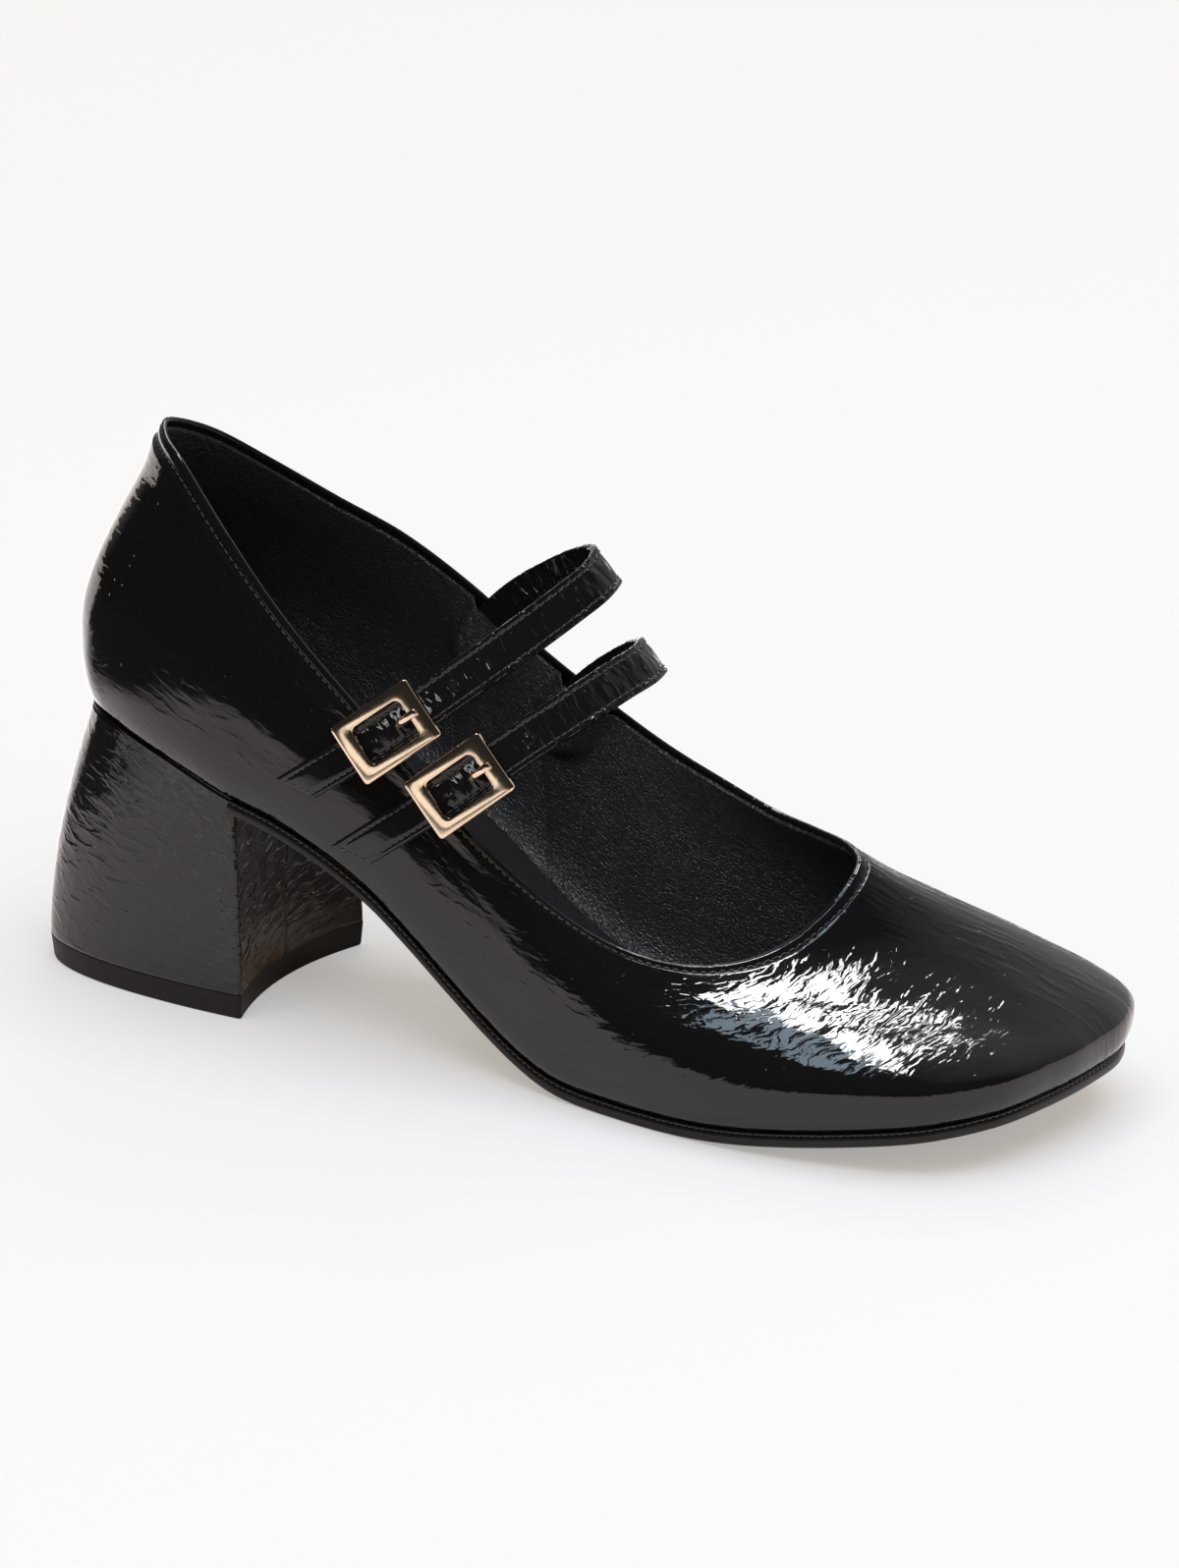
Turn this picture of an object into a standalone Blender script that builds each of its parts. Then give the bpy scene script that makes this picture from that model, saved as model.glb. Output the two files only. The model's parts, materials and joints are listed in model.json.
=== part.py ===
"""Mary jane shoe, right foot: upper, insole, outsole, covered heel with its top piece, two straps, chapes,
buckles and prongs. Lengths below are in millimetres, +X to the toe, +Y to the inner side, Z up from the floor."""
import bpy
import bmesh
import numpy as np

MM = 0.001
CENTRE = (114.85, -0.7)          # plan point that becomes the frame's origin
GAP = 0.3                      # clearance between neighbouring pieces

# widest plan outline of the upper: heel back, outer side, toe, inner side
OUTLINE = [(2.4, 0), (6.9, -13.8), (22, -23), (42, -27.5), (64, -28.5), (87, -28.5), (110, -30), (132, -34),
           (154, -38), (176, -39.5), (198, -38), (215.5, -33.5), (227, -23), (232.5, -9), (235.2, 5.3),
           (235.1, 20), (228.5, 32.3), (209, 37.2), (188, 38), (166, 36.5), (145, 33), (124, 29),
           (102, 26.5), (80, 26.5), (60, 27.5), (40, 27), (22, 22.5), (7.6, 13.2)]
# topline, station for station with the outline
TOPLINE = [(19.5, 0, 120), (23, -7.5, 119), (32.5, -15, 115.5), (47, -20.5, 103), (62, -23, 88.5),
           (78, -24.5, 75), (94, -25.5, 62), (110, -26.5, 50), (126, -26.8, 40.5), (141, -26, 34),
           (155, -23, 31.5), (164.5, -17, 32), (171, -9.5, 34.5), (175, -2, 38.5), (177.5, 5, 43),
           (177, 12, 46.5), (172, 17, 47.8), (163, 21, 48.2), (152, 23.8, 49.2), (139, 25.3, 53),
           (125, 25.5, 58.5), (110, 25, 66.5), (96, 24.3, 75), (80, 23.8, 86), (64, 23, 95),
           (49, 20.8, 101.5), (35, 16.5, 109), (25, 9.5, 116)]
SOLE_PROFILE = [(0, 56.5), (15, 55), (30, 52), (49, 46), (60, 43), (74, 37), (84, 31), (93, 24), (103, 15.8),
                (111, 9.8), (119, 4.9), (127, 1.6), (135, 0.2), (140, 0), (156, 0), (165, 0.3),
                (175, 1.2), (189, 3.2), (200, 5), (211, 6.9), (222, 8.8), (236, 11)]
WIDEST_RISE = [(0, 17), (40, 16), (90, 13), (140, 10), (200, 9), (236, 7)]   # widest line over the sole

SOLE_THICK = 2.6
SOLE_BREAST_X = 49.4
FEATHER_INSET = 3.2            # the upper tucks in by this much at its lower edge
WALL = 1.8
STEPS = 3                      # mesh stations per outline station
LOWER_ROWS, UPPER_ROWS = 4, 9

HEEL_BASE = dict(back=-6.0, front=51.8, half=25.5)
HEEL_TOP = dict(back=5.7, front=49.0, half=23.6)
HEEL_HOLLOW = 4.5              # depth of the concave breast
TOP_PIECE = 5.5
INSOLE_THICK = 2.2

STRAP_WIDE, STRAP_THICK = 8.8, 1.6
STRAP_REAR = [(84.3, -32.2, 67.6), (90.5, -30.0, 72.6), (96.7, -27.2, 77.6), (101.5, -22.3, 81.8),
              (106, -15.2, 86), (110.5, -7, 90.3), (114.5, 1, 94.4), (117, 8.5, 97.5), (115.8, 15.2, 98.8),
              (109.5, 19, 96.8), (101, 20.2, 92), (92.5, 20.6, 86), (85.5, 20.8, 79), (81.5, 20.8, 73)]
STRAP_FRONT = [(102.0, -32.4, 59.2), (108.0, -30.4, 64.2), (114.0, -27.6, 69.3), (118.3, -21.8, 73),
               (122, -14.5, 76), (125, -7, 78.6), (127.3, 0.8, 80.6), (128.8, 8, 81.8),
               (127, 14.5, 81.6), (120, 19, 77.4), (111.5, 21, 71), (104.5, 21.4, 64), (100.5, 21.6, 58)]
BUCKLE_LONG, BUCKLE_SHORT = 19.5, 13.9
BAR_END, BAR_SIDE, BUCKLE_THICK = 3.3, 2.4, 2.0
HOLE = (1.6, 2.6)              # prong hole, along and across the strap
CHAPE_WIDE, CHAPE_THICK = 7.8, 1.5


def clear():
    for item in list(bpy.data.objects):
        bpy.data.objects.remove(item, do_unlink=True)


def profile(points):
    """Smooth height along the length through the given (x, value) points."""
    data = np.array(points, float)
    x, y = data[:, 0], data[:, 1]
    h = np.diff(x)
    slope = np.diff(y) / h
    tangent = np.r_[slope[0], (slope[:-1] * h[1:] + slope[1:] * h[:-1]) / (h[1:] + h[:-1]), slope[-1]]

    def at(q):
        q = np.asarray(q, float)
        i = np.clip(np.searchsorted(x, q) - 1, 0, len(x) - 2)
        t = np.clip((q - x[i]) / h[i], 0, 1)
        return ((2 * t ** 3 - 3 * t ** 2 + 1) * y[i] + (t ** 3 - 2 * t ** 2 + t) * h[i] * tangent[i]
                + (3 * t ** 2 - 2 * t ** 3) * y[i + 1] + (t ** 3 - t ** 2) * h[i] * tangent[i + 1])
    return at


def through(points, steps, closed):
    """Catmull-Rom curve through the points, `steps` samples per span."""
    p = np.array(points, float)
    n = len(p)
    spans = n if closed else n - 1
    out = []
    for i in range(spans):
        if closed:
            a, b, c, d = p[i - 1], p[i], p[(i + 1) % n], p[(i + 2) % n]
        else:
            b, c = p[i], p[i + 1]
            a = p[i - 1] if i else 2 * b - c
            d = p[i + 2] if i + 2 < n else 2 * c - b
        chord = np.linalg.norm(c - b)
        m1 = (c - a) * chord / (np.linalg.norm(b - a) + chord)
        m2 = (d - b) * chord / (np.linalg.norm(d - c) + chord)
        for k in range(steps):
            t = k / steps
            out.append((2 * t ** 3 - 3 * t ** 2 + 1) * b + (t ** 3 - 2 * t ** 2 + t) * m1
                       + (3 * t ** 2 - 2 * t ** 3) * c + (t ** 3 - t ** 2) * m2)
    if not closed:
        out.append(p[-1])
    return np.array(out)


sole_curve = profile(SOLE_PROFILE)
widest_rise = profile(WIDEST_RISE)


def sole_z(x):
    return np.maximum(sole_curve(x), 0.0)


def feather_z(x):
    return sole_z(x) + SOLE_THICK + GAP


def inset(loop, amount):
    """Plan loop moved inward by the amount (the loop runs heel, outer side, toe, inner side)."""
    step = np.roll(loop, -1, 0) - np.roll(loop, 1, 0)
    inward = np.stack([-step[:, 1], step[:, 0]], 1)
    return loop + inward / np.linalg.norm(inward, axis=1)[:, None] * amount


def bezier(a, b, c, d, t):
    t = t[:, None]
    return (1 - t) ** 3 * a + 3 * t * (1 - t) ** 2 * b + 3 * t ** 2 * (1 - t) * c + t ** 3 * d


def upper_columns():
    """Outer face of the upper: one column of points per station, feather edge to topline."""
    wide = through(OUTLINE, STEPS, True)
    edge = inset(wide, FEATHER_INSET)
    top = through(TOPLINE, STEPS, True)
    columns = []
    for w2, f2, t3 in zip(wide, edge, top):
        foot = np.array([f2[0], f2[1], feather_z(f2[0])])
        rise = widest_rise(w2[0])
        side = np.array([w2[0], w2[1], feather_z(w2[0]) + rise])
        out = np.array([side[0] - foot[0], side[1] - foot[1], 0])
        low = bezier(foot, foot + out * 0.75 + [0, 0, 0.12 * rise], side - [0, 0, 0.55 * rise], side,
                     np.linspace(0, 1, LOWER_ROWS + 1))
        front = np.clip((w2[0] - 165) / 50, 0, 1)
        front = front * front * (3 - 2 * front)
        run, height = t3 - side, t3[2] - side[2]
        run[2] = 0
        lift = (0.36 - 0.08 * front) * height
        lean = 0.28
        drop = (0.34 + 0.04 * front) * height
        high = bezier(side, side + [0, 0, lift], t3 - run * lean - [0, 0, drop], t3,
                      np.linspace(0, 1, UPPER_ROWS + 1))
        columns.append(np.concatenate([low, high[1:]]))
    return np.array(columns)


def grid_normals(grid):
    """Unit normals of a grid that is closed along its first axis, pointing away from the shoe's inside."""
    along = np.roll(grid, -1, 0) - np.roll(grid, 1, 0)
    up = np.gradient(grid, axis=1)
    normal = np.cross(along, up)
    return normal / np.linalg.norm(normal, axis=2)[:, :, None]


def make(name, verts, faces, material):
    """One closed mesh object in metres about the frame's origin."""
    mesh = bpy.data.meshes.new(name)
    shift = np.array([CENTRE[0], CENTRE[1], 0])
    mesh.from_pydata(((np.array(verts, float) - shift) * MM).tolist(), [], [tuple(f) for f in faces])
    build = bmesh.new()
    build.from_mesh(mesh)
    bmesh.ops.remove_doubles(build, verts=build.verts, dist=1e-6)
    bmesh.ops.triangulate(build, faces=build.faces)
    bmesh.ops.recalc_face_normals(build, faces=build.faces)
    build.to_mesh(mesh)
    build.free()
    item = bpy.data.objects.new(name, mesh)
    bpy.context.collection.objects.link(item)
    mesh.materials.append(finish(name, *material))
    return item


def finish(name, colour, rough, metal=0.0, coat=0.0):
    material = bpy.data.materials.new(name + "_finish")
    material.use_nodes = True
    surface = material.node_tree.nodes["Principled BSDF"]
    surface.inputs["Base Color"].default_value = (*colour, 1)
    surface.inputs["Roughness"].default_value = rough
    surface.inputs["Metallic"].default_value = metal
    surface.inputs["Coat Weight"].default_value = coat
    return material


PATENT = ((0.010, 0.010, 0.012), 0.18, 0.0, 1.0)
PEBBLED = ((0.018, 0.018, 0.019), 0.6)
RUBBER = ((0.02, 0.02, 0.02), 0.7)
SOLE = ((0.03, 0.027, 0.025), 0.5)
GOLD = ((0.86, 0.68, 0.45), 0.2, 1.0)


def ring_faces(count, rows, wrap):
    """Quads of a grid of `count` columns by `rows` rows; wrap closes the columns."""
    last = count if wrap else count - 1
    return [(i * rows + j, ((i + 1) % count) * rows + j, ((i + 1) % count) * rows + j + 1, i * rows + j + 1)
            for i in range(last) for j in range(rows - 1)]


def build_upper():
    outer = upper_columns()
    inner = outer - grid_normals(outer) * WALL
    level = grid_normals(outer)[:, 0]
    level[:, 2] = 0
    inner[:, 0] = outer[:, 0] - level / np.linalg.norm(level, axis=1)[:, None] * WALL
    inner[:, 1] = (outer[:, 1] - grid_normals(outer)[:, 1] * WALL)
    shell = np.concatenate([outer, inner[:, ::-1], outer[:, :1]], axis=1)
    count, rows = shell.shape[:2]
    return make("upper", shell.reshape(-1, 3), ring_faces(count, rows, True), PATENT)


def plan_hit(loop, centre, angle):
    """Point where the ray from the centre leaves the plan loop."""
    ray = np.array([np.cos(angle), np.sin(angle)])
    a, b = loop, np.roll(loop, -1, 0)
    edge = b - a
    gap = a - centre
    cross = ray[0] * edge[:, 1] - ray[1] * edge[:, 0]
    cross = np.where(np.abs(cross) < 1e-9, 1e-9, cross)
    far = (gap[:, 0] * edge[:, 1] - gap[:, 1] * edge[:, 0]) / cross
    share = (gap[:, 0] * ray[1] - gap[:, 1] * ray[0]) / cross
    good = (far > 0) & (share >= 0) & (share <= 1)
    return centre + ray * far[good].max()


def spokes(loop, xs, heel_cap, toe_cap, turns):
    """Pairs (centre, edge) round the plan loop: straight across at each x, fanned round the capped ends."""
    def across(x, side):
        centre = np.array([x, 0.0])
        return centre, plan_hit(loop, centre, side * np.pi / 2)
    pairs = [across(x, -1) for x in xs]
    if toe_cap:
        centre = np.array([xs[-1], 0.0])
        pairs += [(centre, plan_hit(loop, centre, a)) for a in np.linspace(-np.pi / 2, np.pi / 2, turns)[1:-1]]
    pairs += [across(x, 1) for x in xs[::-1]]
    if heel_cap:
        centre = np.array([xs[0], 0.0])
        pairs += [(centre, plan_hit(loop, centre, a))
                  for a in np.linspace(np.pi / 2, 1.5 * np.pi, turns)[1:-1]]
    return pairs


def plate(name, pairs, low, high, bevel, material, shares=(0, 0.5, 1.0), open_heel=False):
    """Slab between two height profiles over the spoked plan; the lower rim is drawn in by the bevel."""
    verts, faces = [], []
    n, m = len(pairs), len(shares)
    for centre, edge in pairs:
        reach = np.linalg.norm(edge - centre)
        for share in shares:
            q = centre + (edge - centre) * share * (reach - bevel) / reach
            verts.append((q[0], q[1], low(q[0])))
        for share in shares[::-1]:
            q = centre + (edge - centre) * share
            verts.append((q[0], q[1], high(q[0])))
    rows = 2 * m
    for i in range(n):
        k = (i + 1) % n
        if open_heel and k == 0:
            continue
        for j in range(rows - 1):
            faces.append((i * rows + j, k * rows + j, k * rows + j + 1, i * rows + j + 1))
    if open_heel:
        first, last = 0, (n - 1) * rows
        faces.append([first + j for j in range(m)] + [first + rows - 1 - j for j in range(m - 1, -1, -1)])
        faces.append([last + j for j in range(m)] + [last + rows - 1 - j for j in range(m - 1, -1, -1)])
    return make(name, verts, faces, material)


def build_outsole():
    wide = through(OUTLINE, STEPS, True)
    loop = inset(wide, FEATHER_INSET - 1.5)
    xs = [SOLE_BREAST_X, 59, 67, 75, 83, 90, 97, 104, 111, 118, 124, 130, 136, 142, 156, 164, 172, 180, 188,
          196, 203]
    pairs = spokes(loop, xs, False, True, 17)
    return plate("outsole", pairs, sole_z, lambda x: sole_z(x) + SOLE_THICK, 0.9, SOLE, open_heel=True)


def build_insole():
    wide = through(OUTLINE, STEPS, True)
    loop = inset(wide, FEATHER_INSET + WALL + 1.0)
    xs = [30, 38, 46, 54, 62, 70, 78, 86, 93, 100, 107, 114, 120, 127, 134, 142, 156, 166, 176, 186, 196, 202]
    pairs = spokes(loop, xs, True, True, 13)
    return plate("insole", pairs, lambda x: feather_z(x) + 0.05,
                 lambda x: feather_z(x) + 0.05 + INSOLE_THICK, 0.0, PEBBLED)


def heel_plan(size, hollow, turns=11, breast=9):
    """Plan loop of the heel: rounded back, near-straight flanks, concave breast."""
    flank = np.linspace(0, np.pi / 2, turns)
    length = size["front"] - size["back"]
    x = size["front"] - length * np.cos(flank) ** 0.92
    y = size["half"] * np.sin(flank) ** 0.62
    outer = np.stack([x, -y], 1)
    outer[-1] = (size["front"], -size["half"])
    inner = outer[::-1] * [1, -1]
    v = np.linspace(1, -1, breast)[1:-1]
    front = np.stack([size["front"] - hollow * (1 - v ** 2), v * size["half"]], 1)
    return outer, inner, front


def heel_loop(size, hollow):
    outer, inner, front = heel_plan(size, hollow)
    return np.concatenate([outer, front[::-1], inner[:-1]])


def lidded(name, rings, material):
    """Solid from stacked plan rings with flat-filled lids built from cross quads."""
    count = len(rings[0])
    verts = np.concatenate(rings)
    faces = []
    for r in range(len(rings) - 1):
        for i in range(count):
            k = (i + 1) % count
            faces.append((r * count + i, r * count + k, (r + 1) * count + k, (r + 1) * count + i))
    for r in (0, len(rings) - 1):
        base = r * count
        flank = 11
        for i in range(flank - 2):
            a, b = base + i, base + i + 1
            c, d = base + (count - i) % count, base + (count - i - 1)
            faces.append((a, b, d, c) if i else (a, b, d))
        faces.append([base + i for i in range(flank - 2, count - flank + 3)])
    return make(name, verts, faces, material)


def build_heel():
    top, base = heel_loop(HEEL_TOP, 0.6), heel_loop(HEEL_BASE, HEEL_HOLLOW)
    rings = []
    for t in np.linspace(0, 1, 9):
        ease = 1 - (1 - t) ** 1.7
        plan = top + (base - top) * np.stack([np.full(len(top), ease), np.full(len(top), 0.35 * ease + 0.65 * t)], 1)
        z_top = sole_z(top[:, 0]) + SOLE_THICK
        z = z_top + (TOP_PIECE + GAP - z_top) * t
        rings.append(np.c_[plan, z])
    return lidded("heel", rings, PATENT)


def build_top_piece():
    base = heel_loop(HEEL_BASE, HEEL_HOLLOW)
    size = dict(HEEL_BASE)
    size["back"] += 0.6
    size["half"] -= 0.4
    size["front"] -= 0.3
    foot = heel_loop(size, HEEL_HOLLOW)
    return lidded("heel_top_piece", [np.c_[base, np.full(len(base), TOP_PIECE)],
                                     np.c_[foot, np.zeros(len(foot))]], RUBBER)


def unit(v):
    return v / np.linalg.norm(v)


def buckle_axes(path):
    """Origin and axes (along, across, outward) of the buckle that sits on the strap's first part."""
    centre = np.array(path[1], float)
    along = unit(np.array(path[2], float) - np.array(path[0], float))
    outward = unit(np.cross(along, [0.68, 0, -0.73]))
    if outward[1] > 0:
        outward = -outward
    across = unit(np.cross(outward, along))
    if across[2] > 0:
        across = -across
    return centre, along, across, outward


def strap_frames(path):
    """Strap centre line with its width and face directions at each station."""
    line = through(path, 4, False)
    along = np.gradient(line, axis=0)
    along /= np.linalg.norm(along, axis=1)[:, None]
    middle = np.array([np.mean([p[0] for p in path]) - 10, 0, 30])
    wide = []
    for p, a in zip(line, along):
        face = p - middle
        face -= a * face.dot(a)
        lean = np.array([0.68, 0.0, -0.73])
        lean -= a * lean.dot(a)
        wide.append(unit(lean))
    wide = np.array(wide)
    face = np.cross(along, wide)
    flip = np.sign(np.einsum("ij,ij->i", face, line - middle))
    face *= flip[:, None]
    return line, along, wide, face


def strap_section(wide, thick, puff=0.0):
    """Rounded rectangle across the strap, (across, face) pairs."""
    w, t, r = wide / 2, thick / 2, 0.45
    top = [(-w, t - r), (-w + r, t), (0, t + puff), (w - r, t), (w, t - r)]
    low = [(w, r - t), (w - r, -t), (0, -t), (-w + r, -t), (-w, r - t)]
    return np.array(top + low)


def build_strap(name, path):
    line, along, wide, face = strap_frames(path)
    verts = []
    n = len(line)
    for i in range(n):
        puff = 0.35 * max(0.0, 1 - abs(i - 4) / 2.5)
        section = strap_section(STRAP_WIDE, STRAP_THICK, puff)
        verts += [line[i] + wide[i] * u + face[i] * v for u, v in section]
    m = 10
    faces = [(i * m + j, (i + 1) * m + j, (i + 1) * m + (j + 1) % m, i * m + (j + 1) % m)
             for i in range(n - 1) for j in range(m)]
    faces += [list(range(m)), [(n - 1) * m + j for j in range(m)]]
    strap = make(name, verts, faces, PATENT)
    centre, a, w, o = buckle_axes(path)
    cutter = box_solid(name + "_cut", centre + a * 2.6, a, w, o, (HOLE[0] + 1.4, HOLE[1], 6), PATENT)
    cut = strap.modifiers.new("hole", "BOOLEAN")
    cut.operation, cut.object, cut.solver = "DIFFERENCE", cutter, "EXACT"
    cutter.hide_render = True
    cutter.display_type = "WIRE"
    return strap


def box_solid(name, centre, a, w, o, size, material):
    corner = [(x, y, z) for x in (-0.5, 0.5) for y in (-0.5, 0.5) for z in (-0.5, 0.5)]
    verts = [centre + a * x * size[0] + w * y * size[1] + o * z * size[2] for x, y, z in corner]
    faces = [(0, 1, 3, 2), (4, 6, 7, 5), (0, 4, 5, 1), (2, 3, 7, 6), (0, 2, 6, 4), (1, 5, 7, 3)]
    return make(name, verts, faces, material)


def rounded(half_a, half_w, radius, turns=3):
    """Rounded rectangle loop, (along, across) pairs."""
    out = []
    for sa, sw, start in ((1, 1, 0), (-1, 1, 90), (-1, -1, 180), (1, -1, 270)):
        for k in range(turns + 1):
            t = np.radians(start + 90 * k / turns)
            out.append((sa * (half_a - radius) + radius * np.cos(t), sw * (half_w - radius) + radius * np.sin(t)))
    return np.array(out)


def build_buckle(name, path):
    """Rectangular frame with bevelled outer edges and a centre bar carried below on two legs."""
    centre, a, w, o = buckle_axes(path)
    outer = rounded(BUCKLE_LONG / 2, BUCKLE_SHORT / 2, 1.3)
    inner = rounded(BUCKLE_LONG / 2 - BAR_END, BUCKLE_SHORT / 2 - BAR_SIDE, 1.7)
    shrink = np.array([(BUCKLE_LONG - 1.2) / BUCKLE_LONG, (BUCKLE_SHORT - 1.2) / BUCKLE_SHORT])
    base, top = 1.1, 1.1 + BUCKLE_THICK
    rings = [(outer, base), (outer, top - 0.6), (outer * shrink, top), (inner * 1.04, top), (inner, top - 0.3),
             (inner, base)]
    n = len(outer)
    verts = [centre + a * p[0] + w * p[1] + o * h for ring, h in rings for p in ring]
    faces = [(r * n + i, r * n + (i + 1) % n, ((r + 1) % 6) * n + (i + 1) % n, ((r + 1) % 6) * n + i)
             for r in range(6) for i in range(n)]
    frame = make(name, verts, faces, GOLD)
    reach = BUCKLE_SHORT / 2 - 0.8
    parts = [box_solid(name + "_bar", centre - o * 2.1, a, w, o, (1.6, 2 * reach - 0.14, 1.2), GOLD)]
    for side in (-1, 1):
        spot = centre + w * side * (reach - 0.55) - o * 0.35
        parts.append(box_solid(f"{name}_leg{side}", spot, a, w, o, (1.4, 1.1, 4.0), GOLD))
    for part in parts:
        join = frame.modifiers.new(part.name, "BOOLEAN")
        join.operation, join.object, join.solver = "UNION", part, "EXACT"
        part.hide_render = True
        part.display_type = "WIRE"
    return frame


def build_prong(name, path):
    """Tapered pin from the centre bar up through the strap hole onto the upper end bar."""
    centre, a, w, o = buckle_axes(path)
    line = np.array([(1.5, -1.6), (2.1, -0.6), (2.7, 0.9), (3.8, 2.1), (5.6, 3.0), (7.4, 3.75), (9.6, 3.85)])
    spots = through(line, 2, False)
    step = np.gradient(spots, axis=0)
    step /= np.linalg.norm(step, axis=1)[:, None]
    sides = 8
    verts = []
    for k, (s, t) in enumerate(zip(spots, step)):
        radius = 0.52 - 0.14 * k / (len(spots) - 1)
        rise = np.array([-t[1], t[0]])
        for j in range(sides):
            q = 2 * np.pi * j / sides
            across, up = 1.25 * radius * np.cos(q), radius * np.sin(q)
            verts.append(centre + a * (s[0] + rise[0] * up) + o * (s[1] + rise[1] * up) + w * across)
    n = len(spots)
    faces = [(i * sides + j, (i + 1) * sides + j, (i + 1) * sides + (j + 1) % sides, i * sides + (j + 1) % sides)
             for i in range(n - 1) for j in range(sides)]
    faces += [list(range(sides)), [(n - 1) * sides + j for j in range(sides)]]
    return make(name, verts, faces, GOLD)


def quarter_y(outer, x, z):
    """Outer face of the outer quarter at (x, z): plane through the nearest grid points."""
    spots = outer[:, LOWER_ROWS:][outer[:, LOWER_ROWS:, 1] < -8].reshape(-1, 3)
    near = np.argsort((spots[:, 0] - x) ** 2 + (spots[:, 2] - z) ** 2)[:6]
    close = spots[near]
    fit = np.linalg.lstsq(np.c_[close[:, 0] - x, close[:, 2] - z, np.ones(6)], close[:, 1], rcond=None)[0]
    return fit[2]


def build_chape(name, path, foot, outer):
    """Flat tab from the outer quarter up to the buckle's centre bar."""
    centre, a, w, o = buckle_axes(path)
    top = centre - o * (2.7 + GAP + CHAPE_THICK)
    foot = np.array([foot[0], quarter_y(outer, foot[0], foot[1]) - GAP, foot[1]])
    span = np.linspace(0, 1, 13)
    length = np.linalg.norm(top + a * 1.5 - foot)
    verts = []
    half = CHAPE_WIDE / 2
    rows = np.linspace(-half, half, 5)
    cross = unit(np.array([w[0], 0, w[2]]))
    inner, outer_face = [], []
    for s in span:
        mid = foot + (top + a * 1.5 - foot) * s
        rowIn, rowOut = [], []
        for v in rows:
            q = mid + cross * v + a * (0.8 * v * (1 - s))
            skin = quarter_y(outer, q[0], q[2]) - GAP
            drift = np.clip((s * length - length + 12) / 9, 0, 1)
            y = min(skin, (1 - drift) * skin + drift * (q[1])) if drift < 1 else q[1]
            rowIn.append((q[0], y, q[2]))
            rowOut.append((q[0], y - CHAPE_THICK, q[2]))
        inner.append(rowIn)
        outer_face.append(rowOut)
    n, m = len(span), len(rows)
    for i in range(n):
        verts += inner[i] + outer_face[i][::-1]
    size = 2 * m
    faces = [(i * size + j, (i + 1) * size + j, (i + 1) * size + (j + 1) % size, i * size + (j + 1) % size)
             for i in range(n - 1) for j in range(size)]
    for end in (0, (n - 1) * size):
        faces += [(end + j, end + j + 1, end + size - 2 - j, end + size - 1 - j) for j in range(m - 1)]
    return make(name, verts, faces, PATENT)


def build():
    clear()
    outer = upper_columns()
    build_outsole()
    build_heel()
    build_top_piece()
    build_upper()
    build_insole()
    for tag, path, foot in (("rear", STRAP_REAR, (68.0, 55.9)), ("front", STRAP_FRONT, (80.8, 43.5))):
        build_strap("strap_" + tag, path)
        build_chape("chape_" + tag, path, foot, outer)
        build_buckle("buckle_" + tag, path)
        build_prong("prong_" + tag, path)


build()
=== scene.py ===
import json
import math
import bmesh
import bpy
import numpy as np
from mathutils import Matrix, Vector

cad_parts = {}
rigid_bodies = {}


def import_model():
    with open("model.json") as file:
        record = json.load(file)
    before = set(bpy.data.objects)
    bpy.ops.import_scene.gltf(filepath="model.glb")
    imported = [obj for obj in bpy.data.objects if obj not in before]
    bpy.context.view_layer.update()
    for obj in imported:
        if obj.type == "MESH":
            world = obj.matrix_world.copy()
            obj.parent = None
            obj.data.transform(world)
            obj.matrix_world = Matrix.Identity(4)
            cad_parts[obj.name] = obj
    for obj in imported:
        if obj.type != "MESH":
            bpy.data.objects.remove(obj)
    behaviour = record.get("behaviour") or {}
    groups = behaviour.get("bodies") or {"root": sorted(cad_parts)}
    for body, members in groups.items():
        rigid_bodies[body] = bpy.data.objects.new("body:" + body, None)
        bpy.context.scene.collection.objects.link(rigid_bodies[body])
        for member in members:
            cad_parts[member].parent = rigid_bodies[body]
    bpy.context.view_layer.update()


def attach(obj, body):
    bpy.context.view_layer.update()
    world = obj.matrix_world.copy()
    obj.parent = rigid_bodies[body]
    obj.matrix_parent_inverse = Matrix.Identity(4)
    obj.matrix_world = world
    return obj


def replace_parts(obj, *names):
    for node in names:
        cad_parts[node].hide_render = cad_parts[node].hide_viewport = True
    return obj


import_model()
print("frame loaded")

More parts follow.
